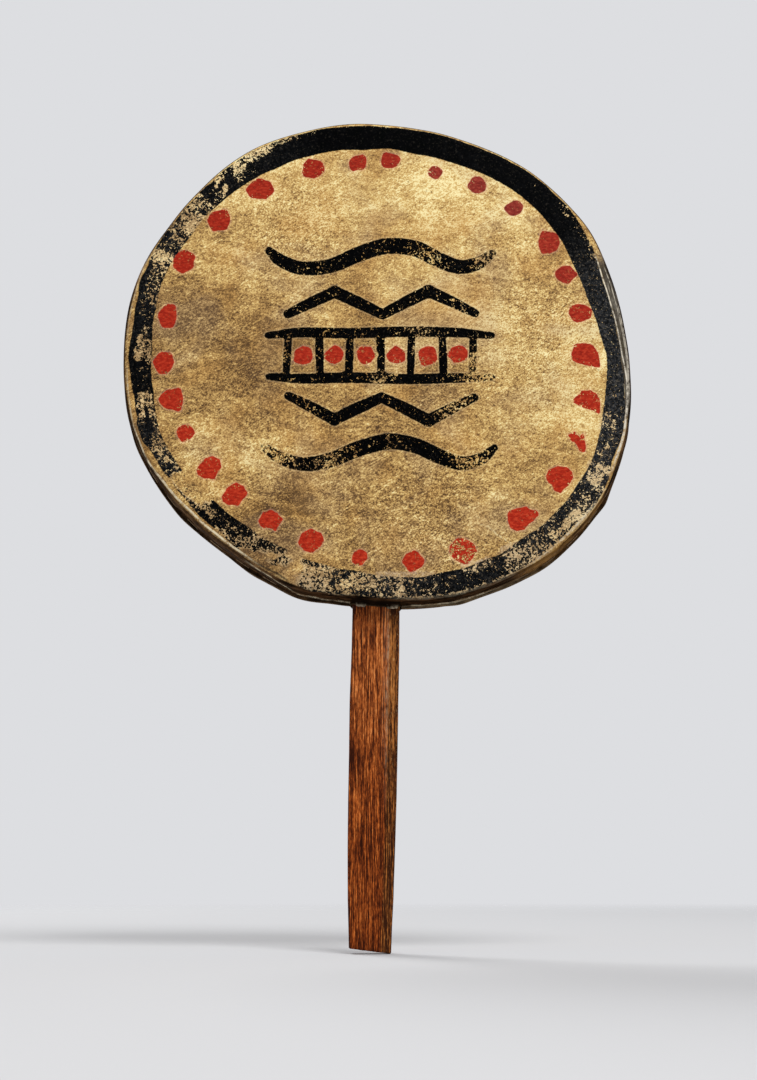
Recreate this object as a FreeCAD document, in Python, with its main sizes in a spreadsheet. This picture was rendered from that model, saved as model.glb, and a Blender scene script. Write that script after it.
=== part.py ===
# Double-headed frame drum on a flat wooden handle.
#
# Millimetres, +Z up, +X to the right, the painted playing head faces -Y (the front).
# The origin is the centre of the outer face of the back head, so the back head lies in the plane
# y = 0 and the painted head in the plane y = -36.  The seam between the two hides runs around the
# wall half way, at y = -18.
#
# The drum isn't a true circle: the hoop is a hand-bent strip, slightly flat beside its lap joint
# at the lower left.  Its outline is a closed chain of ten tangent arcs, each turning 36 degrees,
# and every layer (lip, hide, hoop) is the same chain at another offset.
import FreeCAD, Part
import math
import os

import Sketcher

V = FreeCAD.Vector

# ---------------------------------------------------------------- driving dimensions

# alias, value, note
DIMENSIONS = [
    # outline of the hide's outer wall: radii of the arcs, counterclockwise seen from the front,
    # the first from the topmost point; the last two follow because the chain closes
    ("arc_a_radius", 125.35, "top, turning to the left"),
    ("arc_b_radius", 149.11, "upper left"),
    ("arc_c_radius", 129.74, "left"),
    ("arc_d_radius", 140.38, "lower left"),
    ("arc_e_radius", 161.83, "bottom, left of the handle"),
    ("arc_f_radius", 151.31, "bottom, right of the handle"),
    ("arc_g_radius", 91.37, "lower right, the tightest bend"),
    ("arc_h_radius", 184.24, "right"),
    ("first_centre_x", -9.64, "centre of the first arc"),
    ("first_centre_z", 15.40, "centre of the first arc"),
    # hides
    ("half_depth", 18.0, "from the seam to each head's outer face"),
    ("skin_thickness", 0.9, "dried rawhide"),
    ("shoulder_radius", 4.5, "bend of the hide over the hoop's edge"),
    ("lip_width", 2.0, "edge of each hide turned outwards at the seam"),
    ("seam_gap", 0.1, "between the two lips"),
    # seam thread
    ("needle_hole_radius", 0.38, "awl holes for the seam thread"),
    ("needle_hole_offset", 1.0, "from the wall to the line of awl holes"),
    ("stitch_pitch", 9.0, "along the wall"),
    ("stitch_margin", 4.0, "sideways from the notch to the nearest stitch"),
    ("thread_radius", 0.22, "sinew"),
    ("thread_bend", 0.34, "bend of the sinew where it enters a hole"),
    ("thread_clear", 0.04, "between the sinew and the lips"),
    ("thread_tail", 0.3, "extra sinew at each end"),
    ("knot_radius", 0.8, "knots at the ends of the sinew"),
    ("knot_sink", 0.2, "shift of each knot back along the sinew"),
    # hoop
    ("skin_gap", 0.1, "between hide and hoop"),
    ("hoop_thickness", 6.0, "radial"),
    ("hoop_half_width", 17.0, "half the width of the bent strip"),
    ("hoop_inner_round", 1.2, "eased inner edges"),
    ("lap_start", 226.0, "degrees, where the lap's outer end meets the outside"),
    ("lap_end", 243.0, "degrees, where the lap's inner end meets the inside"),
    ("lap_kerf", 0.3, "gap left between the lapped ends"),
    ("lap_nib", 1.6, "blunt end of each taper"),
    ("lap_overcut", 1.0, "reach of the lap's cut beyond each side of the strip"),
    ("tack_angle_first", 231.5, "degrees"),
    ("tack_angle_second", 237.5, "degrees"),
    ("tack_spread", 9.0, "each side of the middle of the strip"),
    ("tack_hole_radius", 0.68, "through the lap"),
    # handle: one lath, wide below the drum, narrower inside it
    ("grip_thickness", 13.0, "front to back"),
    ("grip_top", 138.15, "below the centre"),
    ("grip_top_width", 25.9, ""),
    ("grip_top_x", -2.05, "middle of the grip at the hoop"),
    ("grip_middle", 268.0, "below the centre"),
    ("grip_middle_width", 25.5, ""),
    ("grip_middle_x", -4.35, ""),
    ("grip_end_left", 324.2, "below the centre"),
    ("grip_end_right", 326.8, "below the centre, the end is cut a little askew"),
    ("grip_end_width", 22.2, ""),
    ("grip_end_x", -5.15, ""),
    ("bevel_width", 6.4, "planed-off front right arris, across the front"),
    ("bevel_depth", 3.0, "the same, along the side"),
    ("grip_round", 1.0, "other long arrises"),
    ("grip_end_round", 0.6, "around the end"),
    ("spine_thickness", 9.0, "front to back"),
    ("spine_width", 18.0, ""),
    ("spine_root", 3.0, "overlap of the spine into the grip"),
    ("spine_top_x", 2.73, "middle of the spine at the top of the hoop"),
    ("spine_top_left", 133.3, "above the centre"),
    ("spine_top_right", 132.0, "above the centre"),
    ("slot_clearance", 0.2, "around the spine in the hoop's slot"),
    ("notch_clearance", 0.4, "around the grip in the hides"),
    ("notch_rise", 3.0, "top of the notch above the top of the grip"),
    # fastenings
    ("peg_radius", 2.0, "wooden peg through the spine, front to back"),
    ("peg_length", 22.0, ""),
    ("peg_hole_radius", 2.08, ""),
    ("peg_x", -1.9, ""),
    ("peg_z", -129.4, ""),
    ("peg_chamfer", 0.5, ""),
    ("nail_length", 30.0, ""),
    ("nail_radius", 1.0, ""),
    ("nail_head_radius", 2.1, ""),
    ("nail_head_thickness", 1.0, ""),
    ("nail_point", 3.0, "length of the taper"),
    ("nail_hole_radius", 1.08, ""),
    ("nail_recess_radius", 2.4, ""),
    ("nail_left_x", -2.0, ""),
    ("nail_right_x", 7.4, ""),
    ("nail_head_top", 138.3, "height of the heads' tops, below the hide"),
    ("tack_length", 5.4, ""),
    ("tack_radius", 0.6, ""),
    ("tack_head_radius", 1.7, ""),
    ("tack_head_thickness", 0.6, ""),
    ("tack_head_clear", 0.05, "between the tack heads and the hoop"),
    ("tack_point", 1.2, "length of the taper"),
    ("pin_tip_radius", 0.12, "blunt tip of nails and tacks"),
    # working lengths
    ("tool_reach", 150.0, "where cuts from above and below start"),
]

doc = FreeCAD.newDocument("FrameDrum")
sheet = doc.addObject("Spreadsheet::Sheet", "Dims")
sheet.Label = "Dims"
for row, (alias, value, note) in enumerate(DIMENSIONS, start=1):
    sheet.set("A%d" % row, alias.replace("_", " "))
    sheet.set("B%d" % row, str(value))
    sheet.setAlias("B%d" % row, alias)
    if note:
        sheet.set("C%d" % row, note)
doc.recompute()


def dim(alias):
    return float(getattr(sheet, alias))


def driven(**factors):
    """A weighted sum of dimensions as (number, expression); with no dimensions (0.0, None)."""
    number = sum((factor * dim(alias) for alias, factor in factors.items()), 0.0)
    terms = ["(%r) * Dims.%s" % (factor, alias) for alias, factor in factors.items()]
    return number, " + ".join(terms) or None


def fixed(points):
    """Computed points as sketch points that no expression drives."""
    return [((x, None), (y, None)) for x, y in points]


ZERO = driven()
MIDDLE = -dim("half_depth")  # y of the seam

# ---------------------------------------------------------------- the outline

ARCS = 10
SPAN = 2.0 * math.pi / ARCS
START = math.pi / 2.0
LETTERS = "abcdefgh"  # the arcs whose radii are dimensions
POLAR_STEPS = 240  # samples per arc when looking for a polar angle
WALK_STEPS = 2000  # samples per arc when measuring along the wall
LEFT_OF_HANDLE, RIGHT_OF_HANDLE = 4, 5  # the two bottom arcs

# offsets of the layers from the hide's outer wall, as factors of dimensions
WALL = {}
LIP = {"lip_width": 1}
HIDE_INSIDE = {"skin_thickness": -1}
HOOP_OUTSIDE = {"skin_thickness": -1, "skin_gap": -1}
HOOP_INSIDE = {"skin_thickness": -1, "skin_gap": -1, "hoop_thickness": -1}
OUTER = driven(**HOOP_OUTSIDE)[0]
INNER = driven(**HOOP_INSIDE)[0]


def arc_chain():
    """Radii and centres, as (x, z), of the ten arcs of the hide's outer wall."""
    radii = [dim("arc_%s_radius" % letter) for letter in LETTERS]
    # chord of each arc for a radius of one
    chords = []
    for k in range(ARCS):
        a, b = START + k * SPAN, START + (k + 1) * SPAN
        chords.append((math.cos(b) - math.cos(a), math.sin(b) - math.sin(a)))
    # the last two arcs span the gap that the others leave
    gap_x = -sum(r * chords[k][0] for k, r in enumerate(radii))
    gap_z = -sum(r * chords[k][1] for k, r in enumerate(radii))
    (ax, az), (bx, bz) = chords[-2:]
    det = ax * bz - bx * az
    radii.append((gap_x * bz - bx * gap_z) / det)
    radii.append((ax * gap_z - gap_x * az) / det)
    centres = [(dim("first_centre_x"), dim("first_centre_z"))]
    for k in range(ARCS - 1):
        angle = START + (k + 1) * SPAN
        shift = radii[k] - radii[k + 1]
        x, z = centres[-1]
        centres.append((x + shift * math.cos(angle), z + shift * math.sin(angle)))
    return radii, centres


RADII, CENTRES = arc_chain()


def wall_point(arc, angle, offset):
    x, z = CENTRES[arc]
    radius = RADII[arc] + offset
    return x + radius * math.cos(angle), z + radius * math.sin(angle)


def point_at_polar(polar, offset):
    """x, z and arc angle of the outline's point at this offset and polar angle about the centre."""
    best = None
    for k in range(ARCS):
        for i in range(POLAR_STEPS + 1):
            angle = START + k * SPAN + SPAN * i / POLAR_STEPS
            x, z = wall_point(k, angle, offset)
            miss = abs(math.remainder(math.atan2(z, x) - polar, 2.0 * math.pi))
            if best is None or miss < best[0]:
                best = (miss, x, z, angle)
    return best[1:]


def walk(start_x, pitch, stop_x):
    """Points along the wall from right of the handle all the way round to its left, as
    (arc, angle), evenly spaced by about the pitch."""
    samples = []
    length = 0.0
    previous = None
    for k in [*range(RIGHT_OF_HANDLE, ARCS), *range(RIGHT_OF_HANDLE)]:
        for i in range(WALK_STEPS + 1):
            angle = START + k * SPAN + SPAN * i / WALK_STEPS
            x, z = wall_point(k, angle, 0.0)
            if k == RIGHT_OF_HANDLE and x < start_x and z < 0:
                continue
            if k == LEFT_OF_HANDLE and x > stop_x and z < 0:
                continue
            if previous is not None:
                length += math.hypot(x - previous[0], z - previous[1])
            previous = (x, z)
            samples.append((length, k, angle))
    count = int(round(length / pitch))
    points = []
    j = 0
    for i in range(count + 1):
        while j < len(samples) - 1 and samples[j][0] < length * i / count:
            j += 1
        points.append(samples[j][1:])
    return points


# ---------------------------------------------------------------- sketches


def new_body(label):
    body = doc.addObject("PartDesign::Body", label)
    body.Label = label
    return body


def new_sketch(body, name, role="XZ_Plane", at=None):
    """A sketch on one of the body's own planes.  On the XZ plane its x is X, its y is Z and it
    faces -Y, so 'at' is how far in front of the back head it lies."""
    sketch = body.newObject("Sketcher::SketchObject", name)
    plane = [f for f in body.Origin.OriginFeatures if f.Role == role][0]
    sketch.AttachmentSupport = [(plane, "")]
    sketch.MapMode = "FlatFace"
    if at:
        sketch.setExpression("AttachmentOffset.Base.z", at)
    return sketch


def bind(sketch, constraint, expression):
    index = sketch.addConstraint(constraint)
    if expression:
        sketch.setExpression("Constraints[%d]" % index, expression)


def bind_point(sketch, element, vertex, point):
    """Place a vertex of an element (1 start, 3 centre) from the sketch's origin."""
    for kind, (number, expression) in zip(("DistanceX", "DistanceY"), point):
        bind(sketch, Sketcher.Constraint(kind, -1, 1, element, vertex, number), expression)


def outline_sketch(body, name, layer, at):
    """The closed chain of arcs at a layer's offset from the hide's outer wall."""
    sketch = new_sketch(body, name, at=at)
    offset = driven(**layer)[0]
    for k in range(ARCS):
        angle = START + k * SPAN
        x, z = CENTRES[k]
        circle = Part.Circle(V(x, z, 0), V(0, 0, 1), RADII[k] + offset)
        sketch.addGeometry(Part.ArcOfCircle(circle, angle, angle + SPAN), False)
    for k in range(ARCS):
        sketch.addConstraint(Sketcher.Constraint("Tangent", k, 2, (k + 1) % ARCS, 1))
    for k in range(ARCS - 1):
        sketch.addConstraint(Sketcher.Constraint("Angle", k, SPAN))
    for k, letter in enumerate(LETTERS):
        radius, expression = driven(**{"arc_%s_radius" % letter: 1}, **layer)
        bind(sketch, Sketcher.Constraint("Radius", k, radius), expression)
    sketch.addConstraint(Sketcher.Constraint("Vertical", 0, 1, 0, 3))
    bind_point(sketch, 0, 3, (driven(first_centre_x=1), driven(first_centre_z=1)))
    return sketch


def polygon_sketch(body, name, corners, role="XZ_Plane", at=None):
    """A closed polygon; each corner is a pair of (number, expression)."""
    sketch = new_sketch(body, name, role, at)
    places = [V(x[0], y[0], 0) for x, y in corners]
    count = len(corners)
    for i in range(count):
        sketch.addGeometry(Part.LineSegment(places[i], places[(i + 1) % count]), False)
    for i in range(count):
        sketch.addConstraint(Sketcher.Constraint("Coincident", i, 2, (i + 1) % count, 1))
    for i, corner in enumerate(corners):
        bind_point(sketch, i, 1, corner)
    return sketch


def rectangle(left, right, low, high):
    return [(left, low), (right, low), (right, high), (left, high)]


def circles_sketch(body, name, centres, radius_alias, role="XZ_Plane", at=None):
    """Equal circles; each centre is a pair of (number, expression)."""
    sketch = new_sketch(body, name, role, at)
    radius = dim(radius_alias)
    for i, (x, y) in enumerate(centres):
        sketch.addGeometry(Part.Circle(V(x[0], y[0], 0), V(0, 0, 1), radius), False)
        if i == 0:
            bind(sketch, Sketcher.Constraint("Radius", 0, radius), "Dims." + radius_alias)
        else:
            sketch.addConstraint(Sketcher.Constraint("Equal", 0, i))
        bind_point(sketch, i, 3, (x, y))
    return sketch


# ---------------------------------------------------------------- features


def extrude(kind, body, name, sketch, length, reverse, symmetric):
    before = body.Tip.Shape.Volume if body.Tip is not None else 0.0
    feature = body.newObject("PartDesign::" + kind, name)
    feature.Profile = sketch
    feature.setExpression("Length", length)
    feature.Reversed = reverse
    if symmetric:
        feature.Midplane = True
    sketch.Visibility = False
    doc.recompute()
    return feature, feature.Shape.Volume - before


def pad(body, name, sketch, length, reverse=False, symmetric=False):
    feature, gain = extrude("Pad", body, name, sketch, length, reverse, symmetric)
    assert gain > 0.0, name + " added nothing"
    return feature


def pocket(body, name, sketch, length, reverse=False, symmetric=False):
    feature, gain = extrude("Pocket", body, name, sketch, length, reverse, symmetric)
    assert gain < -1e-3, name + " cut nothing"
    return feature


def edges_where(shape, test):
    return ["Edge%d" % (i + 1) for i, e in enumerate(shape.Edges) if test(e)]


def edge_points(edge):
    """Start, middle and end of an edge."""
    a, b = edge.ParameterRange
    return [edge.valueAt(a), edge.valueAt((a + b) / 2.0), edge.valueAt(b)]


def lies_at(edge, y):
    return all(abs(p.y - y) < 1e-4 for p in edge_points(edge))


def fillet(body, name, base, edges, radius):
    assert edges, name + " has no edges"
    feature = body.newObject("PartDesign::Fillet", name)
    feature.Base = (base, edges)
    feature.setExpression("Radius", radius)
    doc.recompute()
    return feature


# ---------------------------------------------------------------- the two rawhide heads

NOTCH_LEFT = driven(grip_top_x=1, grip_top_width=-0.5, notch_clearance=-1)
NOTCH_RIGHT = driven(grip_top_x=1, grip_top_width=0.5, notch_clearance=1)

STITCHES = walk(
    start_x=NOTCH_RIGHT[0] + dim("stitch_margin"),
    pitch=dim("stitch_pitch"),
    stop_x=NOTCH_LEFT[0] - dim("stitch_margin"),
)
AWL_HOLES = [wall_point(k, angle, dim("needle_hole_offset")) for k, angle in STITCHES]


def make_head_blank(label, front, face):
    """The solid outside of a head with its lip, notched for the handle and pierced for the
    thread."""
    body = new_body(label + "_blank")
    seam = "Dims.half_depth %s Dims.seam_gap / 2" % ("+" if front else "-")
    wall = outline_sketch(body, label + "_wall", WALL, seam)
    pad(body, label + "_block", wall, "Dims.half_depth - Dims.seam_gap / 2", reverse=not front)
    lip = outline_sketch(body, label + "_lip", LIP, seam)
    lips = pad(body, label + "_lips", lip, "Dims.skin_thickness", reverse=not front)
    face_edges = edges_where(lips.Shape, lambda e: lies_at(e, face))
    fillet(body, label + "_shoulder", lips, face_edges, "Dims.shoulder_radius")
    notch = polygon_sketch(
        body,
        label + "_notch_outline",
        rectangle(
            NOTCH_LEFT, NOTCH_RIGHT, driven(tool_reach=-1), driven(notch_rise=1, grip_top=-1)
        ),
        at=seam,
    )
    notch_depth = "Dims.grip_thickness / 2 + Dims.notch_clearance"
    pocket(body, label + "_notch", notch, notch_depth, reverse=front)
    needles = circles_sketch(
        body, label + "_awl_marks", fixed(AWL_HOLES), "needle_hole_radius", at=seam
    )
    pocket(body, label + "_awl_holes", needles, "2 * Dims.skin_thickness", reverse=front)
    return body


def make_head_core(label, front, floor):
    """The space inside a head."""
    core = new_body(label + "_core")
    inside = outline_sketch(core, label + "_inside", HIDE_INSIDE, "Dims.half_depth")
    depth = "Dims.half_depth - Dims.skin_thickness"
    space = pad(core, label + "_space", inside, depth, reverse=not front)
    floor_edges = edges_where(space.Shape, lambda e: lies_at(e, floor))
    radius = "Dims.shoulder_radius - Dims.skin_thickness"
    fillet(core, label + "_inner_shoulder", space, floor_edges, radius)
    return core


def make_head(label, front):
    """A dished disc of rawhide: flat head, rounded shoulder, wall to the seam and a narrow lip
    turned outwards there."""
    face = -2.0 * dim("half_depth") if front else 0.0
    floor = face + (dim("skin_thickness") if front else -dim("skin_thickness"))
    blank = make_head_blank(label, front, face)
    core = make_head_core(label, front, floor)
    head = doc.addObject("Part::Cut", label)
    head.Label = label
    head.Base = blank
    head.Tool = core
    doc.recompute()
    assert head.Shape.Volume < 0.2 * blank.Shape.Volume, label + " isn't hollow"
    return head


# ---------------------------------------------------------------- the bent hoop

NAIL_CENTRES = [
    (driven(nail_left_x=1), driven(half_depth=-1)),
    (driven(nail_right_x=1), driven(half_depth=-1)),
]

# middle of the strip at each pair of tacks: x, z and the arc's angle
TACK_SPOTS = {
    name: point_at_polar(math.radians(dim("tack_angle_" + name)), (INNER + OUTER) / 2.0)
    for name in ("first", "second")
}


def on_strip_edge(edge):
    half_width = dim("hoop_half_width")
    return all(abs(abs(p.y - MIDDLE) - half_width) < 1e-4 for p in edge_points(edge))


def on_inner_edge(edge):
    if not on_strip_edge(edge):
        return False
    middle = edge_points(edge)[1]
    x, z, _ = point_at_polar(math.atan2(middle.z, middle.x), INNER)
    return math.hypot(middle.x - x, middle.z - z) < 1.5


def make_ring(hoop):
    """The closed strip with its edges rounded."""
    width = "2 * Dims.hoop_half_width"
    outer = outline_sketch(hoop, "hoop_outside", HOOP_OUTSIDE, "Dims.half_depth")
    block = pad(hoop, "hoop_block", outer, width, symmetric=True)
    block = fillet(
        hoop,
        "hoop_outer_round",
        block,
        edges_where(block.Shape, on_strip_edge),
        "Dims.shoulder_radius - Dims.skin_thickness - Dims.skin_gap",
    )
    inner = outline_sketch(hoop, "hoop_inside", HOOP_INSIDE, "Dims.half_depth")
    ring = pocket(hoop, "hoop_ring", inner, "4 * Dims.hoop_half_width", symmetric=True)
    inner_edges = edges_where(ring.Shape, on_inner_edge)
    fillet(hoop, "hoop_inner_ease", ring, inner_edges, "Dims.hoop_inner_round")


def cut_slot(hoop):
    """The slot for the handle's spine, through the bottom of the hoop."""
    slot = polygon_sketch(
        hoop,
        "hoop_slot_outline",
        rectangle(
            driven(grip_top_x=1, spine_width=-0.5, slot_clearance=-1),
            driven(grip_top_x=1, spine_width=0.5, slot_clearance=1),
            driven(half_depth=-1, spine_thickness=-0.5, slot_clearance=-1),
            driven(half_depth=-1, spine_thickness=0.5, slot_clearance=1),
        ),
        role="XY_Plane",
        at="-Dims.tool_reach",
    )
    pocket(hoop, "hoop_slot", slot, "Dims.tool_reach / 6", reverse=True)


def drill_from_above(body, marks, holes, radius_alias, depth):
    """A hole at each nail, drilled down from the tool's reach."""
    sketch = circles_sketch(
        body, marks, NAIL_CENTRES, radius_alias, role="XY_Plane", at="Dims.tool_reach"
    )
    pocket(body, holes, sketch, depth)


def drill_tack_holes(hoop):
    """Holes through the lap, drilled square to the strip."""
    centres = [
        (driven(half_depth=1, tack_spread=-1), ZERO),
        (driven(half_depth=1, tack_spread=1), ZERO),
    ]
    for name, (x, z, angle) in TACK_SPOTS.items():
        marks = circles_sketch(hoop, "hoop_tack_marks_" + name, centres, "tack_hole_radius")
        # the sketch's x becomes the distance in front of the back head, its normal the radial one
        c, s = math.cos(angle), math.sin(angle)
        marks.AttachmentOffset = FreeCAD.Placement(
            V(x, z, 0), FreeCAD.Rotation(V(0, 0, 1), V(s, -c, 0), V(c, s, 0), "ZXY")
        )
        depth = "2.6 * Dims.hoop_thickness"
        pocket(hoop, "hoop_tack_holes_" + name, marks, depth, symmetric=True)


def beside(points, shift):
    """The open line moved sideways, its corners mitred."""
    normals = []
    for (px, pz), (qx, qz) in zip(points, points[1:]):
        length = math.hypot(qx - px, qz - pz)
        normals.append((-(qz - pz) / length, (qx - px) / length))
    moved = []
    for i, (px, pz) in enumerate(points):
        if i in (0, len(points) - 1):
            nx, nz = normals[0 if i == 0 else -1]
            moved.append((px + nx * shift, pz + nz * shift))
        else:
            (ux, uz), (wx, wz) = normals[i - 1], normals[i]
            mitre = 1.0 + ux * wx + uz * wz
            moved.append((px + (ux + wx) * shift / mitre, pz + (uz + wz) * shift / mitre))
    return moved


def cut_lap(hoop):
    """The cut where the two tapered ends of the strip lap each other: square across each blunt
    end and slanting between them."""
    overcut = dim("lap_overcut")
    ax, az, a_angle = point_at_polar(math.radians(dim("lap_start")), OUTER + overcut)
    bx, bz, b_angle = point_at_polar(math.radians(dim("lap_end")), INNER - overcut)
    nib = dim("lap_nib") + overcut
    line = [
        (ax, az),
        (ax - nib * math.cos(a_angle), az - nib * math.sin(a_angle)),
        (bx + nib * math.cos(b_angle), bz + nib * math.sin(b_angle)),
        (bx, bz),
    ]
    half_kerf = dim("lap_kerf") / 2.0
    corners = beside(line, half_kerf) + beside(line, -half_kerf)[::-1]
    kerf = polygon_sketch(hoop, "hoop_lap_cut", fixed(corners), at="Dims.half_depth")
    pocket(hoop, "hoop_lap", kerf, "4 * Dims.hoop_half_width", symmetric=True)


def make_hoop():
    hoop = new_body("hoop")
    make_ring(hoop)
    cut_slot(hoop)
    drill_from_above(
        hoop, "hoop_nail_marks", "hoop_nail_holes", "nail_hole_radius", "Dims.tool_reach / 6"
    )
    drill_from_above(
        hoop,
        "hoop_recess_marks",
        "hoop_nail_recesses",
        "nail_recess_radius",
        "Dims.tool_reach - Dims.nail_head_top + Dims.nail_head_thickness + Dims.skin_gap",
    )
    drill_tack_holes(hoop)
    cut_lap(hoop)
    return hoop


# ---------------------------------------------------------------- the handle and its spine

PEG_CENTRE = (driven(peg_x=1), driven(peg_z=1))


def grip_corner(station, side, level=None):
    """Corner of the grip at a station, on the left (-1) or right (1)."""
    x = driven(**{station + "_x": 1, station + "_width": side * 0.5})
    return x, driven(**{level or station: -1})


def long_edges(shape, front, right):
    """Lengthwise edges in the grip's front or back face, on its right or left."""
    y = MIDDLE + (-1 if front else 1) * dim("grip_thickness") / 2.0

    def test(edge):
        start, middle, end = edge_points(edge)
        if not lies_at(edge, y) or abs(start.z - end.z) < 20.0:
            return False
        return (middle.x > dim("grip_middle_x")) == right

    return edges_where(shape, test)


def bevel_grip(handle, lath):
    """Plane off the front right arris, the wider side of the bevel across the front."""
    bevel = handle.newObject("PartDesign::Chamfer", "grip_bevel")
    bevel.Base = (lath, long_edges(lath.Shape, front=True, right=True))
    bevel.ChamferType = "Two distances"
    bevel.setExpression("Size", "Dims.bevel_width")
    bevel.setExpression("Size2", "Dims.bevel_depth")
    doc.recompute()
    # a point just under the front face that only the bevel's wider side takes away
    probe_inset = 4.6
    probe_depth = 0.3
    probe = V(
        (dim("grip_top_x") + dim("grip_middle_x") + dim("grip_top_width")) / 2.0 - probe_inset,
        MIDDLE - dim("grip_thickness") / 2.0 + probe_depth,
        -(dim("grip_top") + dim("grip_middle")) / 2.0,
    )
    if bevel.Shape.isInside(probe, 1e-4, True):
        bevel.FlipDirection = True
        doc.recompute()
    assert not bevel.Shape.isInside(probe, 1e-4, True), "the bevel is on the wrong face"
    return bevel


def make_grip(handle):
    grip = polygon_sketch(
        handle,
        "grip_outline",
        [
            grip_corner("grip_top", -1),
            grip_corner("grip_middle", -1),
            grip_corner("grip_end", -1, level="grip_end_left"),
            grip_corner("grip_end", 1, level="grip_end_right"),
            grip_corner("grip_middle", 1),
            grip_corner("grip_top", 1),
        ],
        at="Dims.half_depth",
    )
    lath = pad(handle, "grip_lath", grip, "Dims.grip_thickness", symmetric=True)
    bevel = bevel_grip(handle, lath)
    arrises = (
        long_edges(bevel.Shape, front=True, right=False)
        + long_edges(bevel.Shape, front=False, right=False)
        + long_edges(bevel.Shape, front=False, right=True)
    )
    fillet(handle, "grip_arrises", bevel, arrises, "Dims.grip_round")


def make_handle():
    handle = new_body("handle")
    make_grip(handle)
    root = driven(grip_top=-1, spine_root=-1)
    spine = polygon_sketch(
        handle,
        "spine_outline",
        [
            (driven(grip_top_x=1, spine_width=-0.5), root),
            (driven(grip_top_x=1, spine_width=0.5), root),
            (driven(spine_top_x=1, spine_width=0.5), driven(spine_top_right=1)),
            (driven(spine_top_x=1, spine_width=-0.5), driven(spine_top_left=1)),
        ],
        at="Dims.half_depth",
    )
    pad(handle, "spine_lath", spine, "Dims.spine_thickness", symmetric=True)
    peg_mark = circles_sketch(
        handle, "peg_mark", [PEG_CENTRE], "peg_hole_radius", at="Dims.half_depth"
    )
    pocket(handle, "peg_hole", peg_mark, "3 * Dims.spine_thickness", symmetric=True)
    drill_from_above(
        handle,
        "spine_nail_marks",
        "spine_nail_holes",
        "nail_hole_radius",
        "Dims.tool_reach - Dims.nail_head_top + Dims.nail_length + 3 * Dims.skin_gap",
    )
    end_top = -dim("grip_end_left") + 0.01
    end_edges = edges_where(
        handle.Tip.Shape, lambda e: all(p.z < end_top for p in edge_points(e))
    )
    fillet(handle, "grip_end_ease", handle.Tip, end_edges, "Dims.grip_end_round")
    return handle


# ---------------------------------------------------------------- peg, nails and tacks


def make_peg():
    peg = new_body("handle_peg")
    circle = circles_sketch(peg, "peg_circle", [PEG_CENTRE], "peg_radius", at="Dims.half_depth")
    rod = pad(peg, "peg_rod", circle, "Dims.peg_length", symmetric=True)
    ends = peg.newObject("PartDesign::Chamfer", "peg_ends")
    ends.Base = (
        rod,
        edges_where(rod.Shape, lambda e: abs(e.valueAt(0).y - e.valueAt(1).y) < 1e-6),
    )
    ends.setExpression("Size", "Dims.peg_chamfer")
    doc.recompute()
    return peg


def turned_pin(label, kind):
    """A nail or tack, its head's top in the XY plane and its point down the Z axis."""
    body = new_body(label)
    head_radius = driven(**{kind + "_head_radius": 1})
    under_head = driven(**{kind + "_head_thickness": -1})
    shank_radius = driven(**{kind + "_radius": 1})
    taper_top = driven(**{kind + "_point": 1, kind + "_length": -1})
    tip = driven(**{kind + "_length": -1})
    profile = polygon_sketch(
        body,
        label + "_profile",
        [
            (ZERO, ZERO),
            (head_radius, ZERO),
            (head_radius, under_head),
            (shank_radius, under_head),
            (shank_radius, taper_top),
            (driven(pin_tip_radius=1), tip),
            (ZERO, tip),
        ],
    )
    turned = body.newObject("PartDesign::Revolution", label + "_turned")
    turned.Profile = profile
    turned.ReferenceAxis = (profile, ["V_Axis"])
    turned.Angle = 360.0
    profile.Visibility = False
    doc.recompute()
    return body


def group(label, bodies):
    """Identical fasteners share one node as separate solids."""
    compound = doc.addObject("Part::Compound", label)
    compound.Label = label
    compound.Links = bodies
    return compound


def make_nails():
    """Two nails down through the top of the hoop into the spine."""
    nails = []
    for side in ("left", "right"):
        nail = turned_pin("spine_nail_" + side, "nail")
        nail.Placement = FreeCAD.Placement(
            V(dim("nail_%s_x" % side), MIDDLE, dim("nail_head_top")), FreeCAD.Rotation()
        )
        nails.append(nail)
    return group("spine_nails", nails)


def make_tacks():
    """Four tacks through the lap, heads inside the hoop, points outwards."""
    inward = dim("hoop_thickness") / 2.0 + dim("tack_head_thickness") + dim("tack_head_clear")
    tacks = []
    for x, z, angle in TACK_SPOTS.values():
        c, s = math.cos(angle), math.sin(angle)
        for y in (MIDDLE + dim("tack_spread"), MIDDLE - dim("tack_spread")):
            tack = turned_pin("hoop_tack_%d" % (len(tacks) + 1), "tack")
            tack.Placement = FreeCAD.Placement(
                V(x - c * inward, y, z - s * inward),
                FreeCAD.Rotation(V(0, 0, 1), V(-c, 0, -s)),
            )
            tacks.append(tack)
    return group("hoop_tacks", tacks)


# ---------------------------------------------------------------- the seam thread


def rounded_wire(points, bend):
    """A wire through the points with every corner rounded to the bend radius."""
    edges = []
    last_end = points[0]
    for before, corner, after in zip(points, points[1:], points[2:]):
        into = (corner - before).normalize()
        out = (after - corner).normalize()
        turn = into.getAngle(out)
        cut = bend * math.tan(turn / 2.0)
        arc_start = corner - into * cut
        arc_end = corner + out * cut
        toward = (out - into).normalize()
        centre = corner + toward * (bend / math.cos(turn / 2.0))
        arc_middle = centre - toward * bend
        edges.append(Part.LineSegment(last_end, arc_start).toShape())
        edges.append(Part.Arc(arc_start, arc_middle, arc_end).toShape())
        last_end = arc_end
    edges.append(Part.LineSegment(last_end, points[-1]).toShape())
    return Part.Wire(edges)


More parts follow.
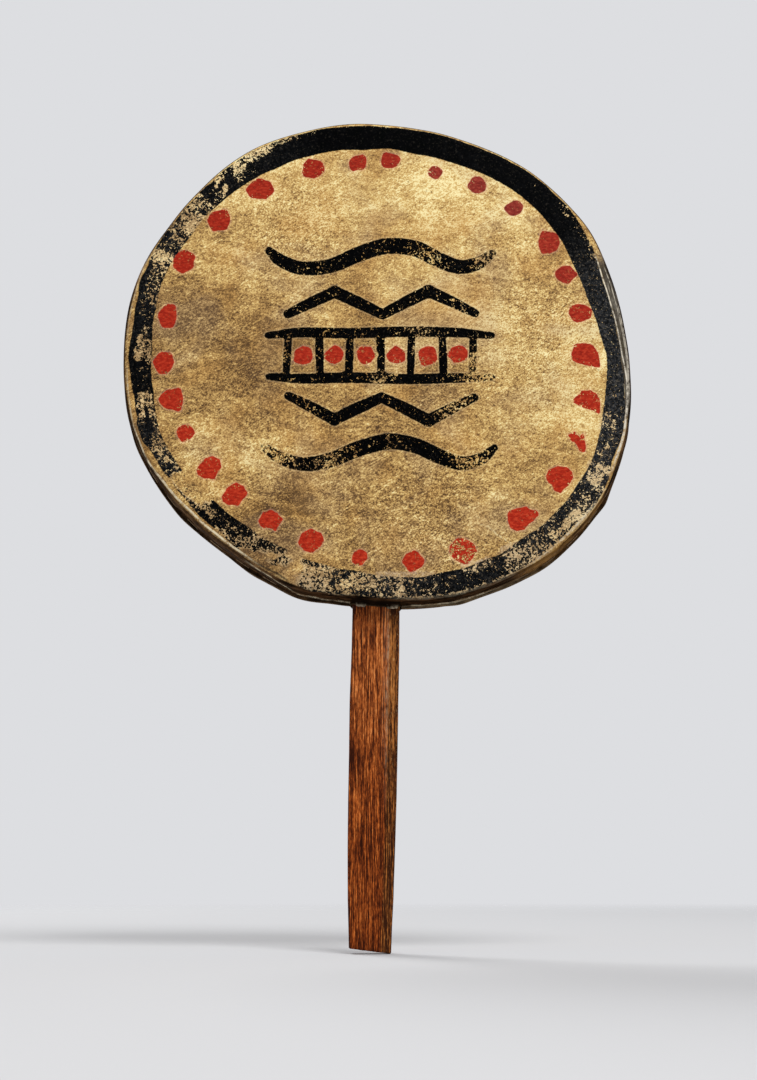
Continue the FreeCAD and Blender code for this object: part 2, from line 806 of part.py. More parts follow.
def thread_path():
    """Corners of a running stitch that starts behind the lips and passes through every hole."""
    reach = (
        dim("skin_thickness") + dim("seam_gap") / 2.0 + dim("thread_radius") + dim("thread_clear")
    )
    tail = dim("thread_tail")
    last = len(AWL_HOLES) - 1
    path = []
    for i, (x, z) in enumerate(AWL_HOLES):
        side = 1 if i % 2 == 0 else -1  # 1 enters from the back, -1 from the front
        enter = reach + (tail if i == 0 else 0.0)
        leave = reach + (tail if i == last else 0.0)
        path.append(V(x, MIDDLE + side * enter, z))
        path.append(V(x, MIDDLE - side * leave, z))
    return path


def make_thread():
    """The sinew with a round knot at each end."""
    path = thread_path()
    centre_line = rounded_wire(path, dim("thread_bend"))
    direction = (path[1] - path[0]).normalize()
    section = Part.Wire([Part.Circle(path[0], direction, dim("thread_radius")).toShape()])
    strand = centre_line.makePipeShell([section], True, False)
    knot_shift = dim("knot_radius") - dim("thread_radius") - dim("knot_sink")
    knots = []
    for end, before in ((path[0], path[1]), (path[-1], path[-2])):
        outward = (end - before).normalize()
        knots.append(Part.makeSphere(dim("knot_radius"), end + outward * knot_shift))
    thread = doc.addObject("Part::Feature", "seam_thread")
    thread.Label = "seam_thread"
    thread.Shape = strand.fuse(knots)
    return thread


# ---------------------------------------------------------------- build and export

NODES = [
    make_head("front_head", front=True),
    make_head("back_head", front=False),
    make_hoop(),
    make_handle(),
    make_peg(),
    make_nails(),
    make_tacks(),
    make_thread(),
]

doc.recompute()
for obj in doc.Objects:
    state = getattr(obj, "State", [])
    if "Invalid" in state or "Error" in state:
        raise RuntimeError("%s is %s" % (obj.Label, state))
for obj in NODES:
    if obj.Shape.isNull() or not obj.Shape.isValid():
        raise RuntimeError(obj.Label + " has no valid shape")

os.makedirs("parts", exist_ok=True)
for obj in NODES:
    obj.Shape.exportStep(os.path.join("parts", obj.Label + ".step"))
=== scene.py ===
"""A hand-held frame drum: two rawhide heads sewn rim to rim over a bent hoop, on a wooden handle.

The frame is the CAD part's, in metres: +Z up, the front head faces -Y, the handle hangs down.
Lengths in the tables and the mesh code are in millimetres, angles in degrees. Angles around the
drum start at +X and turn towards +Z.
"""

import math
from types import SimpleNamespace

import bpy
import numpy as np
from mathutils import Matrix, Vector


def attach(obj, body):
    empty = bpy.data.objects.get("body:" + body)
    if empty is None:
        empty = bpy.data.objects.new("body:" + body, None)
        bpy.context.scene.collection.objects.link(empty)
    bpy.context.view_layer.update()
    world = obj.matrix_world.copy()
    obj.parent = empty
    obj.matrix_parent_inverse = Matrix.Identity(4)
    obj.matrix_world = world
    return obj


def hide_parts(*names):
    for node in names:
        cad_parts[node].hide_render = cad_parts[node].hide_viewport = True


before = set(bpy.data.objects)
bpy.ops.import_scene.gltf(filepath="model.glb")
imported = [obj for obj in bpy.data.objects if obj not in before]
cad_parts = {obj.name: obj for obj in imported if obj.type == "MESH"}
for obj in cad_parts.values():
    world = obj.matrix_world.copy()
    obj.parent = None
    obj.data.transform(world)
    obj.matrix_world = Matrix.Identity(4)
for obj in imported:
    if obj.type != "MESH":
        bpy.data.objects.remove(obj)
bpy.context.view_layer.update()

MM = 0.001
FRONT_Y = -36.0  # face of the front head; the back head's face is at y = 0
MID_Y = FRONT_Y / 2
HANDLE_X = -2.05
THICK = 0.9  # rawhide
SEAM_DEPTH = 17.95  # from a head's face to the seam
BEND_DEPTH = 4.5  # from a head's face to the end of its bend
SIDE_GAP = 0.7  # from the wall's outline to the outside of the hide


# ---------------------------------------------------------------- numbers


def fade(x):
    return x * x * x * (x * (x * 6 - 15) + 10)


def lattice_noise(x, y, size, seed, octaves=1, gain=0.5):
    """Smooth 2-D noise in about -1..1 with features of about `size`."""
    x, y = np.broadcast_arrays(np.asarray(x, float), np.asarray(y, float))
    total, share, shares = np.zeros(x.shape), 1.0, 0.0
    for k in range(octaves):
        grid = np.random.RandomState(seed + 17 * k).uniform(-1, 1, (128, 128))
        across, up = x / size * 2**k + 31.7 * k, y / size * 2**k + 11.3 * k
        column, row = np.floor(across).astype(int), np.floor(up).astype(int)
        across, up = fade(across - column), fade(up - row)

        def between(j):
            left, right = (grid[(column + i) % 128, (row + j) % 128] for i in (0, 1))
            return left * (1 - across) + right * across

        total += share * (between(0) * (1 - up) + between(1) * up)
        shares += share
        share *= gain
    return total / shares * 1.4


def round_noise(angle, waves, seed):
    """Periodic noise in about -1..1 around the drum, with up to `waves` waves a turn."""
    rng = np.random.RandomState(seed)
    turn = np.radians(angle)
    total, power = np.zeros_like(turn), 0.0
    for k in range(1, waves + 1):
        height = rng.normal() * (k / waves) ** 0.4
        total += height * np.cos(k * turn + rng.uniform(0, 2 * math.pi))
        power += height * height
    return total / math.sqrt(power / 2.0) / 1.8


def smooth(x, low, high):
    x = np.clip((np.asarray(x, float) - low) / (high - low), 0, 1)
    return x * x * (3 - 2 * x)


def turn_table(angle, pairs):
    """A periodic piecewise-linear function of the angle."""
    angles, values = np.array(pairs, float).T
    return np.interp(angle, angles, values, period=360.0)


def turn_from(angle, centre):
    """Signed angle from a centre, -180..180."""
    return (angle - centre + 180.0) % 360.0 - 180.0


def bump_at(angle, centre, width):
    """1 at an angle, falling smoothly to 0 at about 2 widths."""
    return np.exp(-((turn_from(angle, centre) / width) ** 2))


def window(angle, start, end, soft=2.0):
    """1 between two angles, with soft ends."""
    half = (end - start) % 360.0 / 2
    return 1 - smooth(np.abs(turn_from(angle, start + half)), half - soft, half + soft)


def windows(angle, *rows):
    """Sum of windows, as rows of (start, end, softness, amount)."""
    return sum(amount * window(angle, start, end, soft) for start, end, soft, amount in rows)


def spots(x, z, rows):
    """Sum of round soft spots, as rows of (x, z, size, amount)."""
    total = 0.0
    for spot_x, spot_z, size, amount in rows:
        total = total + amount * np.exp(-((x - spot_x) ** 2 + (z - spot_z) ** 2) / size**2)
    return total


def unit(vectors):
    return vectors / np.linalg.norm(vectors, axis=1, keepdims=True)


# ---------------------------------------------------------------- meshes


def make_mesh(name, verts, faces, attributes=None):
    mesh = bpy.data.meshes.new(name)
    mesh.from_pydata([tuple(v) for v in verts.tolist()], [], faces)
    mesh.update()
    mesh.polygons.foreach_set("use_smooth", [True] * len(mesh.polygons))
    for key, values in (attributes or {}).items():
        layer = mesh.attributes.new(key, "FLOAT", "POINT")
        layer.data.foreach_set("value", np.ascontiguousarray(values, dtype=np.float32))
    mesh.validate()
    ob = bpy.data.objects.new(name, mesh)
    bpy.context.scene.collection.objects.link(ob)
    return ob


def tube_quads(rows, around):
    """Quads between successive closed rings of vertices."""
    index = np.arange(rows * around).reshape(rows, around)
    after = np.roll(index, -1, 1)
    quads = np.stack([index[:-1], after[:-1], after[1:], index[1:]], -1)
    return [tuple(q) for q in quads.reshape(-1, 4).tolist()]


def closed_tube(rows, around):
    """A tube's quads, with fans to two further vertices that close its first and last ring."""
    first, last = rows * around, rows * around + 1
    end = first - around
    after = [(j + 1) % around for j in range(around)]
    faces = tube_quads(rows, around)
    faces += [(first, after[j], j) for j in range(around)]
    return faces + [(last, end + j, end + after[j]) for j in range(around)]


# ---------------------------------------------------------------- shader graphs


def linear(*colour):
    """sRGB 0..255 to a linear colour."""
    parts = [c / 255.0 for c in colour]
    return (*(c / 12.92 if c <= 0.04045 else ((c + 0.055) / 1.055) ** 2.4 for c in parts), 1.0)


class Value:
    """A node's output. Its operators and methods add nodes that take it as input."""

    def __init__(self, graph, socket):
        self.graph = graph
        self.socket = socket

    def math(self, operation, other=None, clamp=False):
        inputs = {0: self, 1: other}
        return self.graph.node("Math", inputs, operation=operation, use_clamp=clamp)

    def __add__(self, other):
        return self.math("ADD", other)

    def __sub__(self, other):
        return self.math("SUBTRACT", other)

    def __rsub__(self, other):
        return self.graph.node("Math", {0: other, 1: self}, operation="SUBTRACT")

    def __mul__(self, other):
        return self.math("MULTIPLY", other)

    def __abs__(self):
        return self.math("ABSOLUTE")

    def swing(self, amount):
        """The departure from 0.5, scaled."""
        return (self - 0.5) * amount

    def fit(self, low, high, to_low=0.0, to_high=1.0, soft=False):
        """Map low..high to to_low..to_high, clamped."""
        inputs = {"Value": self, "From Min": low, "From Max": high}
        inputs.update({"To Min": to_low, "To Max": to_high})
        kind = "SMOOTHSTEP" if soft else "LINEAR"
        return self.graph.node("MapRange", inputs, "Result", interpolation_type=kind, clamp=True)

    def mix(self, zero, one, blend="MIX"):
        """Colour `zero` where this value is 0, `one` where it is 1; tuples are sRGB 0..255."""
        zero, one = (linear(*c) if isinstance(c, tuple) else c for c in (zero, one))
        settings = dict(data_type="RGBA", blend_type=blend, clamp_factor=True)
        return self.graph.node("Mix", {"Factor": self, 6: zero, 7: one}, 2, **settings)

    def blend(self, zero, one):
        """The same for plain numbers."""
        return self.graph.node("Mix", {"Factor": self, 2: zero, 3: one}, data_type="FLOAT")

    def ramp(self, *stops):
        """A colour ramp, its stops given as (position, red, green, blue)."""
        colour = self.graph.node("ValToRGB", {"Fac": self}, "Color")
        elements = colour.socket.node.color_ramp.elements
        while len(elements) < len(stops):
            elements.new(0.5)
        for element, (position, *rgb) in zip(elements, stops):
            element.position = position
            element.color = linear(*rgb)
        return colour


class Graph:
    """The node tree of a material or a world."""

    def __init__(self, owner, kind="Material"):
        owner.use_nodes = True
        self.owner = owner
        self.tree = owner.node_tree
        self.tree.nodes.clear()
        self.out = self.tree.nodes.new("ShaderNodeOutput" + kind)
        self.object_place = None

    def put(self, socket, value):
        if isinstance(value, Value):
            self.tree.links.new(value.socket, socket)
        elif value is not None:
            socket.default_value = value

    def node(self, kind, inputs=None, output=0, **settings):
        node = self.tree.nodes.new("ShaderNode" + kind)
        for key, value in settings.items():
            setattr(node, key, value)
        for key, value in (inputs or {}).items():
            self.put(node.inputs[key], value)
        return Value(self, node.outputs[output])

    def place(self):
        if self.object_place is None:
            self.object_place = self.node("TexCoord", output="Object")
        return self.object_place

    def attr(self, name):
        return self.node("Attribute", output="Fac", attribute_name=name)

    def mapped(self, scale=(1, 1, 1), turn=(0, 0, 0), shift=(0, 0, 0), vector=None):
        inputs = {"Vector": vector or self.place(), "Location": shift, "Scale": scale}
        inputs["Rotation"] = [math.radians(a) for a in turn]
        return self.node("Mapping", inputs)

    def noise(self, scale, detail=3, rough=0.6, warp=0.0, shift=None, turn=None, lean=None):
        """Noise in 0..1. `scale` is one number, or one per axis, which stretches the pattern.

        `lean` turns the pattern about Y before the stretch, `turn` within it.
        """
        vector = self.place()
        if lean is not None:
            vector = self.mapped(turn=(0, lean, 0))
        stretch = scale if isinstance(scale, tuple) else (1, 1, 1)
        if isinstance(scale, tuple) or shift:
            vector = self.mapped(stretch, turn or (0, 0, 0), shift or (0, 0, 0), vector)
            scale = 1.0 if isinstance(scale, tuple) else scale
        inputs = {"Vector": vector, "Scale": scale, "Detail": detail}
        inputs.update({"Roughness": rough, "Distortion": warp})
        return self.node("TexNoise", inputs, "Fac")

    def surface(self, value):
        self.put(self.out.inputs["Surface"], value)

    def principled(self, colour, rough, specular=None, metal=None, normal=None):
        inputs = {"Base Color": colour, "Roughness": rough, "Specular IOR Level": specular}
        inputs.update({"Metallic": metal, "Normal": normal})
        return self.node("BsdfPrincipled", inputs)

    def finish(self, colour, rough, height, depth, strength, **more):
        """Join up the surface, with `height` as its relief, and return the material."""
        bump = {"Strength": strength, "Distance": depth, "Height": height}
        self.surface(self.principled(colour, rough, normal=self.node("Bump", bump), **more))
        return self.owner


def new_material(name):
    return Graph(bpy.data.materials.new(name))


# ---------------------------------------------------------------- the drum's outline

# radius of the wall every 2.5 degrees
OUTLINE = np.array([
    140.2, 139.8, 139.4, 139.2, 139.2, 139.2, 139.3, 139.5, 139.7, 140.0, 140.5, 141.0,
    141.5, 141.8, 141.7, 141.5, 141.4, 141.2, 141.2, 141.2, 141.2, 141.2, 141.0, 140.7,
    140.4, 140.1, 139.8, 139.6, 139.5, 139.5, 139.6, 139.6, 139.6, 139.7, 140.0, 140.3,
    140.7, 141.3, 141.8, 142.2, 142.5, 142.7, 142.9, 143.1, 143.5, 143.9, 144.4, 144.8,
    145.1, 145.1, 145.0, 144.8, 144.5, 144.2, 143.9, 143.7, 143.7, 143.6, 143.5, 143.5,
    143.8, 144.2, 144.5, 144.7, 144.7, 144.7, 144.6, 144.6, 144.5, 144.3, 144.2, 144.0,
    143.9, 143.9, 144.0, 144.0, 144.1, 144.2, 144.1, 144.0, 143.7, 143.4, 143.0, 142.6,
    142.0, 141.4, 140.9, 140.4, 139.9, 139.5, 139.2, 138.9, 138.6, 138.3, 138.2, 138.3,
    138.4, 138.8, 139.2, 139.6, 139.8, 139.7, 139.2, 138.7, 138.3, 138.1, 138.2, 138.5,
    138.8, 139.2, 139.7, 140.2, 140.8, 141.5, 142.2, 142.8, 143.3, 143.7, 144.1, 144.6,
    145.2, 145.9, 146.6, 147.2, 147.7, 148.0, 148.2, 148.3, 148.4, 148.3, 148.2, 148.0,
    147.4, 146.8, 146.1, 145.6, 145.2, 144.7, 144.1, 143.4, 142.7, 141.9, 141.2, 140.6,
])
WAVES = 44  # of the outline's Fourier series that are kept


def wall_radius(angle):
    """The wall's radius as a smooth periodic curve."""
    k = np.arange(WAVES)
    series = np.fft.rfft(OUTLINE)[:WAVES] / len(OUTLINE) * np.where(k == 0, 1, 2)
    return np.real(np.exp(1j * np.outer(np.radians(angle), k)) @ series)


# ---------------------------------------------------------------- the painting's tables

# edges of the black border band: (angle, distance in from the wall)
BAND_INNER = [
    (0, 12.8), (15, 16.9), (30, 18.4), (40, 16.6), (50, 16), (60, 16.1), (70, 16.5), (80, 16.4),
    (87, 15.9), (95, 17.2), (105, 16.5), (113, 17.0), (118, 17.6), (125, 16.7), (130, 15.7),
    (137, 14.8), (145, 14.2), (155, 14), (164, 14.2), (168, 15.2), (175, 15.4), (185, 15.7),
    (190, 15.8), (192, 15.2), (195, 14.8), (200, 13.6), (208, 13.4), (214, 13.4), (221, 14.6),
    (223, 15.1), (232, 15.4), (238, 15.6), (241, 15.9), (245, 17.0), (250, 15.6), (256, 15.3),
    (260, 14.0), (265, 13.6), (270, 12.4), (280, 12.1), (285, 13.0), (295, 13.2), (300, 13.4),
    (305, 15.3), (310, 15.7), (320, 15.3), (325, 15.8), (330, 14.8), (335, 14.4), (340, 14.2),
    (345, 15.6), (350, 14.5), (355, 13.4),
]
BAND_OUTER = [
    (0, 4.6), (10, 4.8), (15, 5.2), (20, 5.2), (24, 4.0), (30, 3.5), (33, 3.3), (36, 2.0),
    (40, 1.5), (50, 1.3), (60, 1.6), (70, 1.4), (80, 1.6), (90, 2.0), (95, 2.2), (100, 1.7),
    (105, 1.3), (115, 1.5), (120, 1.7), (130, 1.7), (140, 1.4), (150, 0.9), (156, 1.2),
    (158, 2.0), (163, 2.2), (167, 3.2), (170, 3.8), (175, 3.9), (180, 2.7), (184, 2.9),
    (187, 4.0), (190, 4.4), (195, 4.6), (196.5, 2.6), (198, 2.2), (201, 2.4), (203, 3.8),
    (206, 4.6), (210, 4.3), (212, 5.3), (216, 4.1), (221.5, 4.0), (223, 3.0), (226, 3.4),
    (229, 4.4), (232, 2.8), (236, 2.0), (240, 2.0), (250, 0.6), (254, -0.4), (258, -0.5),
    (264, 0.0), (270, 0.2), (280, 0.0), (290, 0.0), (298, 0.2), (302, 1.0), (305, 1.8),
    (310, 2.4), (315, 3.0), (318, 3.0), (322, 1.4), (327, 1.2), (331, 2.0), (334, 3.2),
    (337, 2.6), (342, 2.4), (346, 2.4), (350, 3.4),
]
# worn patches of the band, later ones over earlier:
# (from angle, to angle, from distance, to distance in from the wall, share worn away)
BAND_WEAR = [
    (-8, 28, -1, 20, 0.06), (20, 40, 3, 6, 0.22), (37, 42, 0.5, 2.6, 0.26),
    (46.5, 49, 3.4, 6.4, 0.16), (88, 104, 0.5, 2.6, 0.26), (104, 113, 0.5, 4.0, 0.22),
    (112, 117, 1, 5, 0.42), (117, 122, 2, 7, 0.66), (119, 122.5, 5.5, 8, 0.60),
    (122, 127, 1.5, 6.5, 0.62), (124.5, 128, 6, 10, 0.60), (123.5, 128, 10, 14, 0.28),
    (128, 131, 1, 5, 0.36), (130.4, 133, 1, 6, 0.72), (131, 134, 9.4, 12.6, 0.82),
    (133, 137, -1, 16, 0.17), (137, 140.4, -1, 16, 0.44), (139.4, 142, 2, 7, 0.58),
    (138, 141.4, 8, 15, 0.50), (141.5, 146.4, 7.6, 16, 0.82), (141.5, 146, -1, 7.8, 0.43),
    (145.4, 148, -1, 8, 0.58), (146.4, 150.2, 3, 14.5, 0.48), (150, 153.8, -1, 15, 0.35),
    (149.8, 152.6, 1.4, 4, 0.08), (153.6, 156.6, -1, 15, 0.76), (156.4, 158.4, 3, 15, 0.46),
    (158, 167, 6, 11.6, 0.38), (158, 167, 11.6, 14.6, 0.46), (157.6, 167, 2, 5.4, 0.04),
    (166, 170.4, 6, 9.4, 0.30), (168, 174, 9, 15, 0.17), (176, 177.8, 7, 9.4, 0.72),
    (176, 180.4, 9, 11, 0.72), (173.4, 179, 11, 13, 0.62), (176, 183, 12.6, 16, 0.58),
    (179, 181, 6, 10, 0.76), (183, 190, 2, 16, 0.08), (184.5, 186, 12, 14, 0.42),
    (189.6, 193, 4, 7.4, 0.27), (190, 192.2, 7.6, 14, 0.66), (192.2, 195, 7, 9.4, 0.56),
    (195, 197, 4, 8, 0.44), (192, 200.4, 11, 14.4, 0.50), (197, 202.4, 2, 7.2, 0.17),
    (202, 210.6, 4, 7.4, 0.24), (200.4, 208.4, 7.4, 11.2, 0.62), (204, 208, 6.2, 8, 0.56),
    (208.4, 211.6, 4, 12, 0.24), (200, 210.4, 11.6, 14, 0.50), (211.6, 222.6, -1, 20, 0.96),
    (211.6, 214.4, 4, 6, 0.80), (215.8, 220, 3.9, 5.8, 0.30), (220, 222.6, 3.8, 6.4, 0.38),
    (222.4, 226, 2.5, 6.8, 0.06), (225.4, 229.4, 4.4, 8.2, 0.18), (221.6, 226.6, 7, 12.2, 0.72),
    (222, 224.4, 9.2, 11, 0.40), (223, 231, 12.3, 16, 0.05), (226, 231.4, 8.2, 12.6, 0.27),
    (228, 231.6, 2, 6, 0.88), (229.4, 236.4, 3, 7.4, 0.52), (232, 236, 2.6, 5.4, 0.30),
    (231, 236.4, 7.4, 12.6, 0.47), (231, 234.6, 12.6, 16, 0.16), (234.4, 238.4, 12.4, 16, 0.42),
    (236.2, 251, -1, 20, 0.96), (236, 238.4, 6, 12.6, 0.52), (238, 241, 8.6, 14.6, 0.40),
    (240.4, 243.6, 12, 17, 0.34), (243, 245.2, 14, 18, 0.42), (242.8, 244.6, 5.8, 7.4, 0.66),
    (244.8, 247.2, 8, 12, 0.58), (250.4, 252.4, 13, 16, 0.30), (251.4, 256.4, -2, 8, 0.66),
    (251.4, 256.4, 8, 13.2, 0.82), (252.4, 258, 13, 16, 0.52), (256, 260.4, -2, 15, 0.66),
    (260, 263, -2, 8, 0.66), (260, 263.4, 8, 14, 0.34), (263, 266.4, -2, 12.6, 0.72),
    (262, 269, 12.4, 14, 0.36), (266, 269.6, 1.4, 5, 0.30), (266, 269.6, 5, 12.4, 0.64),
    (269.4, 274.4, -2, 15, 0.50), (274, 276.2, -2, 15, 0.66), (276, 284.2, -2, 15, 0.35),
    (284, 290.4, -2, 15, 0.12), (290, 297.6, -2, 8.8, 0.11), (290, 297.6, 8.8, 15, 0.53),
    (297.4, 301, -2, 15, 0.18), (299.4, 300.6, 3.4, 5, 0.60), (300.6, 306, -2, 16, 0.44),
    (301.6, 304.2, 6.8, 10, 0.74), (305, 309.6, -2, 12.4, 0.50), (305, 310, 12.4, 16, 0.27),
    (309.4, 316.4, 2, 8, 0.54), (309.4, 316.4, 8, 16, 0.31), (313, 316.4, 7, 11, 0.48),
    (315, 321.4, 1, 4.2, 0.84), (311, 318, 3.7, 4.8, 0.30), (316, 321.4, 4.7, 9.8, 0.86),
    (316, 323, 9.8, 16, 0.22), (321, 324.4, 3, 10, 0.54), (321.4, 327.6, 0, 3.4, 0.48),
    (324, 328, 3.6, 16, 0.27), (327.6, 332, 4.4, 10.4, 0.76), (331, 334.6, 1.2, 5, 0.80),
    (327.8, 330, 10, 13.2, 0.80), (330, 333, 11, 16, 0.36), (333, 345.6, 4, 16, 0.16),
    (333.4, 345, 1, 4, 0.14), (335, 339, 4, 10, 0.23), (340.6, 344.4, 7, 16, 0.35),
    (345, 352, 1, 16, 0.08), (266, 276, -2, 1.0, 0.56), (276, 300, -2, 1.3, 0.60),
]
# greyness of the old black paint, powdery wear with a painted sheen on the right: (angle, amount)
CHALK_AND_SHEEN = [
    (0, 0.75), (20, 0.55), (28, 0.22), (36, 0.04), (105, 0.0), (112, 0.1), (135, 0.16),
    (155, 0.28), (170, 0.22), (180, 0.06), (190, 0.08), (200, 0.28), (212, 0.28), (222, 0.06),
    (245, 0.06), (255, 0.2), (270, 0.3), (285, 0.22), (300, 0.26), (320, 0.4), (333, 0.7),
    (350, 0.8),
]

# red dabs: (x, z, width, height, tilt, how maroon, how worn)
DABS = [
    # the ring of dabs
    (5.8, 117.8, 10.9, 9.6, 3, 0.15, 0.05), (-12.5, 116.1, 10.6, 10.4, -24, 0.05, 0.1),
    (-38.5, 112.6, 13.4, 11.9, 20, 0.0, 0.1), (32.2, 109.8, 7.9, 7.9, 24, 0.75, 0.05),
    (56.8, 102.1, 11.0, 10.4, -15, 0.95, 0.05), (-68.1, 99.4, 15.0, 12.6, 24, 0.0, 0.1),
    (77.0, 88.4, 10.4, 9.2, -22, 1.0, 0.05), (-91.9, 80.6, 13.0, 12.8, 36, 0.0, 0.12),
    (96.8, 67.0, 13.6, 12.9, -30, 0.35, 0.05), (-111.5, 55.2, 11.9, 13.0, 60, 0.0, 0.12),
    (104.9, 48.1, 10.7, 11.3, -30, 0.4, 0.1), (-119.9, 23.1, 11.3, 14.0, 84, 0.0, 0.12),
    (112.8, 24.8, 12.6, 10.4, -12, 0.15, 0.1), (115.7, -0.1, 14.4, 13.6, 6, 0.05, 0.15),
    (-121.1, -4.8, 10.9, 13.0, 88, 0.0, 0.12), (-115.8, -26.2, 12.6, 11.6, 30, 0.0, 0.12),
    (116.0, -26.8, 13.8, 12.2, -20, 0.0, 0.18), (-108.1, -45.7, 10.4, 9.4, 45, 0.0, 0.16),
    (109.7, -49.8, 9.4, 10.6, -50, 0.0, 0.3), (-94.3, -66.0, 12.6, 12.6, 52, 0.0, 0.14),
    (99.0, -71.3, 13.8, 14.4, 12, 0.0, 0.16), (-80.3, -80.6, 12.8, 11.2, 38, 0.0, 0.16),
    (77.7, -94.2, 15.4, 12.4, 18, 0.0, 0.14), (-60.3, -95.3, 12.2, 10.6, 30, 0.0, 0.2),
    (-38.0, -107.0, 13.0, 12.0, 20, 0.0, 0.2), (46.0, -112.2, 14.6, 12.0, 8, 0.0, 0.68),
    (-10.7, -116.1, 7.8, 9.4, -60, 0.0, 0.22), (18.4, -118.4, 11.9, 12.0, -12, 0.0, 0.2),
    # between the ladder's rungs
    (-43.0, -0.6, 10.4, 10.2, 10, 0.05, 0.15), (-25.4, 0.4, 11.0, 10.8, -18, 0.0, 0.2),
    (-8.1, -0.8, 10.2, 11.2, 25, 0.0, 0.15), (9.5, -0.2, 10.8, 10.4, -8, 0.05, 0.2),
    (26.8, -0.8, 10.6, 11.0, 15, 0.0, 0.25), (44.2, 0.2, 10.2, 10.4, -20, 0.0, 0.3),
]
# dabs with outlines of their own, keyed by the dab's middle: corners (x, z) around that middle
DAB_SHAPES = {
    (109.7, -49.8): [
        (-5.3, 3.0), (-1.4, 5.0), (1.5, 2.5), (3.7, 3.9), (4.8, 4.4), (3.7, 0.2), (4.6, -3.7),
        (3.7, -6.3), (1.5, -5.4), (-0.8, -1.5), (-3.6, 0.2)],
    (99.0, -71.3): [
        (-6.8, 0.3), (-5.1, 4.3), (-0.6, 6.3), (4.5, 6.3), (7.7, 3.7), (8.1, -0.2), (5.6, -3.6),
        (2.8, -5.9), (0.6, -9.0), (-2.3, -7.0), (-2.8, -3.6), (-5.6, -2.7)],
    (77.7, -94.2): [
        (-7.3, 1.1), (-6.2, 4.0), (-2.3, 5.4), (2.8, 5.9), (4.5, 4.5), (8.6, 3.6), (9.2, 1.7),
        (6.8, -1.7), (2.3, -4.5), (1.1, -6.8), (-2.3, -7.3), (-5.1, -5.6), (-6.8, -2.3)],
    (115.7, -0.1): [
        (-7.9, 0.6), (-5.6, 5.8), (-0.6, 7.3), (4.0, 6.1), (6.9, 1.7), (8.0, -6.9), (3.4, -6.3),
        (-2.3, -5.2), (-6.9, -2.9)],
    (116.0, -26.8): [
        (-8.0, 0.0), (-2.9, 5.2), (1.7, 6.0), (5.7, 3.5), (6.9, -1.1), (6.3, -7.2), (1.7, -5.2),
        (-2.9, -3.5), (-6.9, -1.7)],
    (-94.3, -66.0): [
        (-6.8, -0.7), (-3.2, 4.9), (1.0, 7.1), (5.9, 4.9), (6.6, 0.7), (3.8, -2.8), (2.4, -6.3),
        (-1.8, -5.6), (-5.4, -3.5)],
    (-80.3, -80.6): [
        (-6.8, -2.1), (-3.5, 3.5), (0.7, 6.1), (5.6, 4.2), (6.8, 0.4), (3.5, -3.5), (1.4, -6.6),
        (-2.8, -5.6), (-6.3, -4.2)],
    (-60.3, -95.3): [
        (-6.1, -0.3), (-3.9, 4.2), (0.3, 5.6), (3.8, 4.2), (6.6, 0.3), (4.5, -2.1), (3.1, -5.4),
        (-0.4, -4.5), (-3.9, -4.5), (-5.4, -2.8)],
    (-38.0, -107.0): [
        (-7.0, -0.7), (-3.8, 4.9), (0.4, 6.3), (5.4, 4.2), (6.8, 0.7), (5.4, -3.5), (1.8, -6.1),
        (-3.1, -4.9), (-6.6, -2.8)],
}

# brush strokes in the middle, as rows of (x, z, width)
STROKES = [
    # upper wave
    [(-63, 62, 5.0), (-56, 56, 7.6), (-44, 51.5, 8.4), (-28, 53, 8.8), (-12, 60, 9.4),
     (4, 65, 9.8), (20, 63.5, 9.8), (33, 57, 9.4), (45, 52.5, 8.8), (56, 54.5, 7.8),
     (64, 60.5, 4.8)],
    # lower wave
    [(-64, -54, 4.6), (-55, -60, 7.2), (-42, -63.5, 8.0), (-27, -61, 8.8), (-11, -54.5, 9.2),
     (5, -50.5, 9.2), (20, -53, 9.0), (33, -59, 8.8), (45, -63, 8.0), (56, -60.5, 7.0),
     (64, -54, 4.0)],
    # chevrons above the ladder
    [(-52, 24.0, 5.4), (-25, 37.5, 7.2)], [(-25.8, 37.5, 7.2), (1.5, 24.0, 6.2)],
    [(2.5, 24.4, 6.2), (28, 38.0, 7.4)], [(27.4, 38.0, 7.4), (54, 24.6, 5.0)],
    # chevrons below it
    [(-51, -24.0, 5.0), (-25, -38.0, 7.0)], [(-25.5, -38.0, 7.0), (1.0, -25.0, 6.2)],
    [(2, -25.4, 6.2), (27.5, -38.6, 7.2)], [(27, -38.6, 7.2), (53, -25.0, 4.8)],
    # the ladder's rails and rungs
    [(-63, 11.4, 4.0), (-45, 13.2, 6.0), (-17, 12.8, 6.4), (13, 13.6, 6.4), (42, 13.2, 6.0),
     (63, 11.4, 4.2)],
    [(-62, -12.8, 4.2), (-43, -14.0, 6.0), (-16, -13.4, 6.4), (15, -14.2, 6.2),
     (44, -13.6, 5.8), (63, -13.2, 3.8)],
    [(-51.4, 12, 4.2), (-52.6, -13, 3.8)], [(-34.2, 12, 4.6), (-33.4, -13, 4.0)],
    [(-16.6, 12, 4.0), (-17.4, -13, 4.6)], [(0.4, 12, 4.6), (0.9, -13, 4.0)],
    [(18.0, 12, 4.2), (17.2, -13, 4.0)], [(35.2, 12, 4.0), (35.9, -13, 4.6)],
    [(52.8, 12, 4.2), (51.9, -13, 3.8)],
]
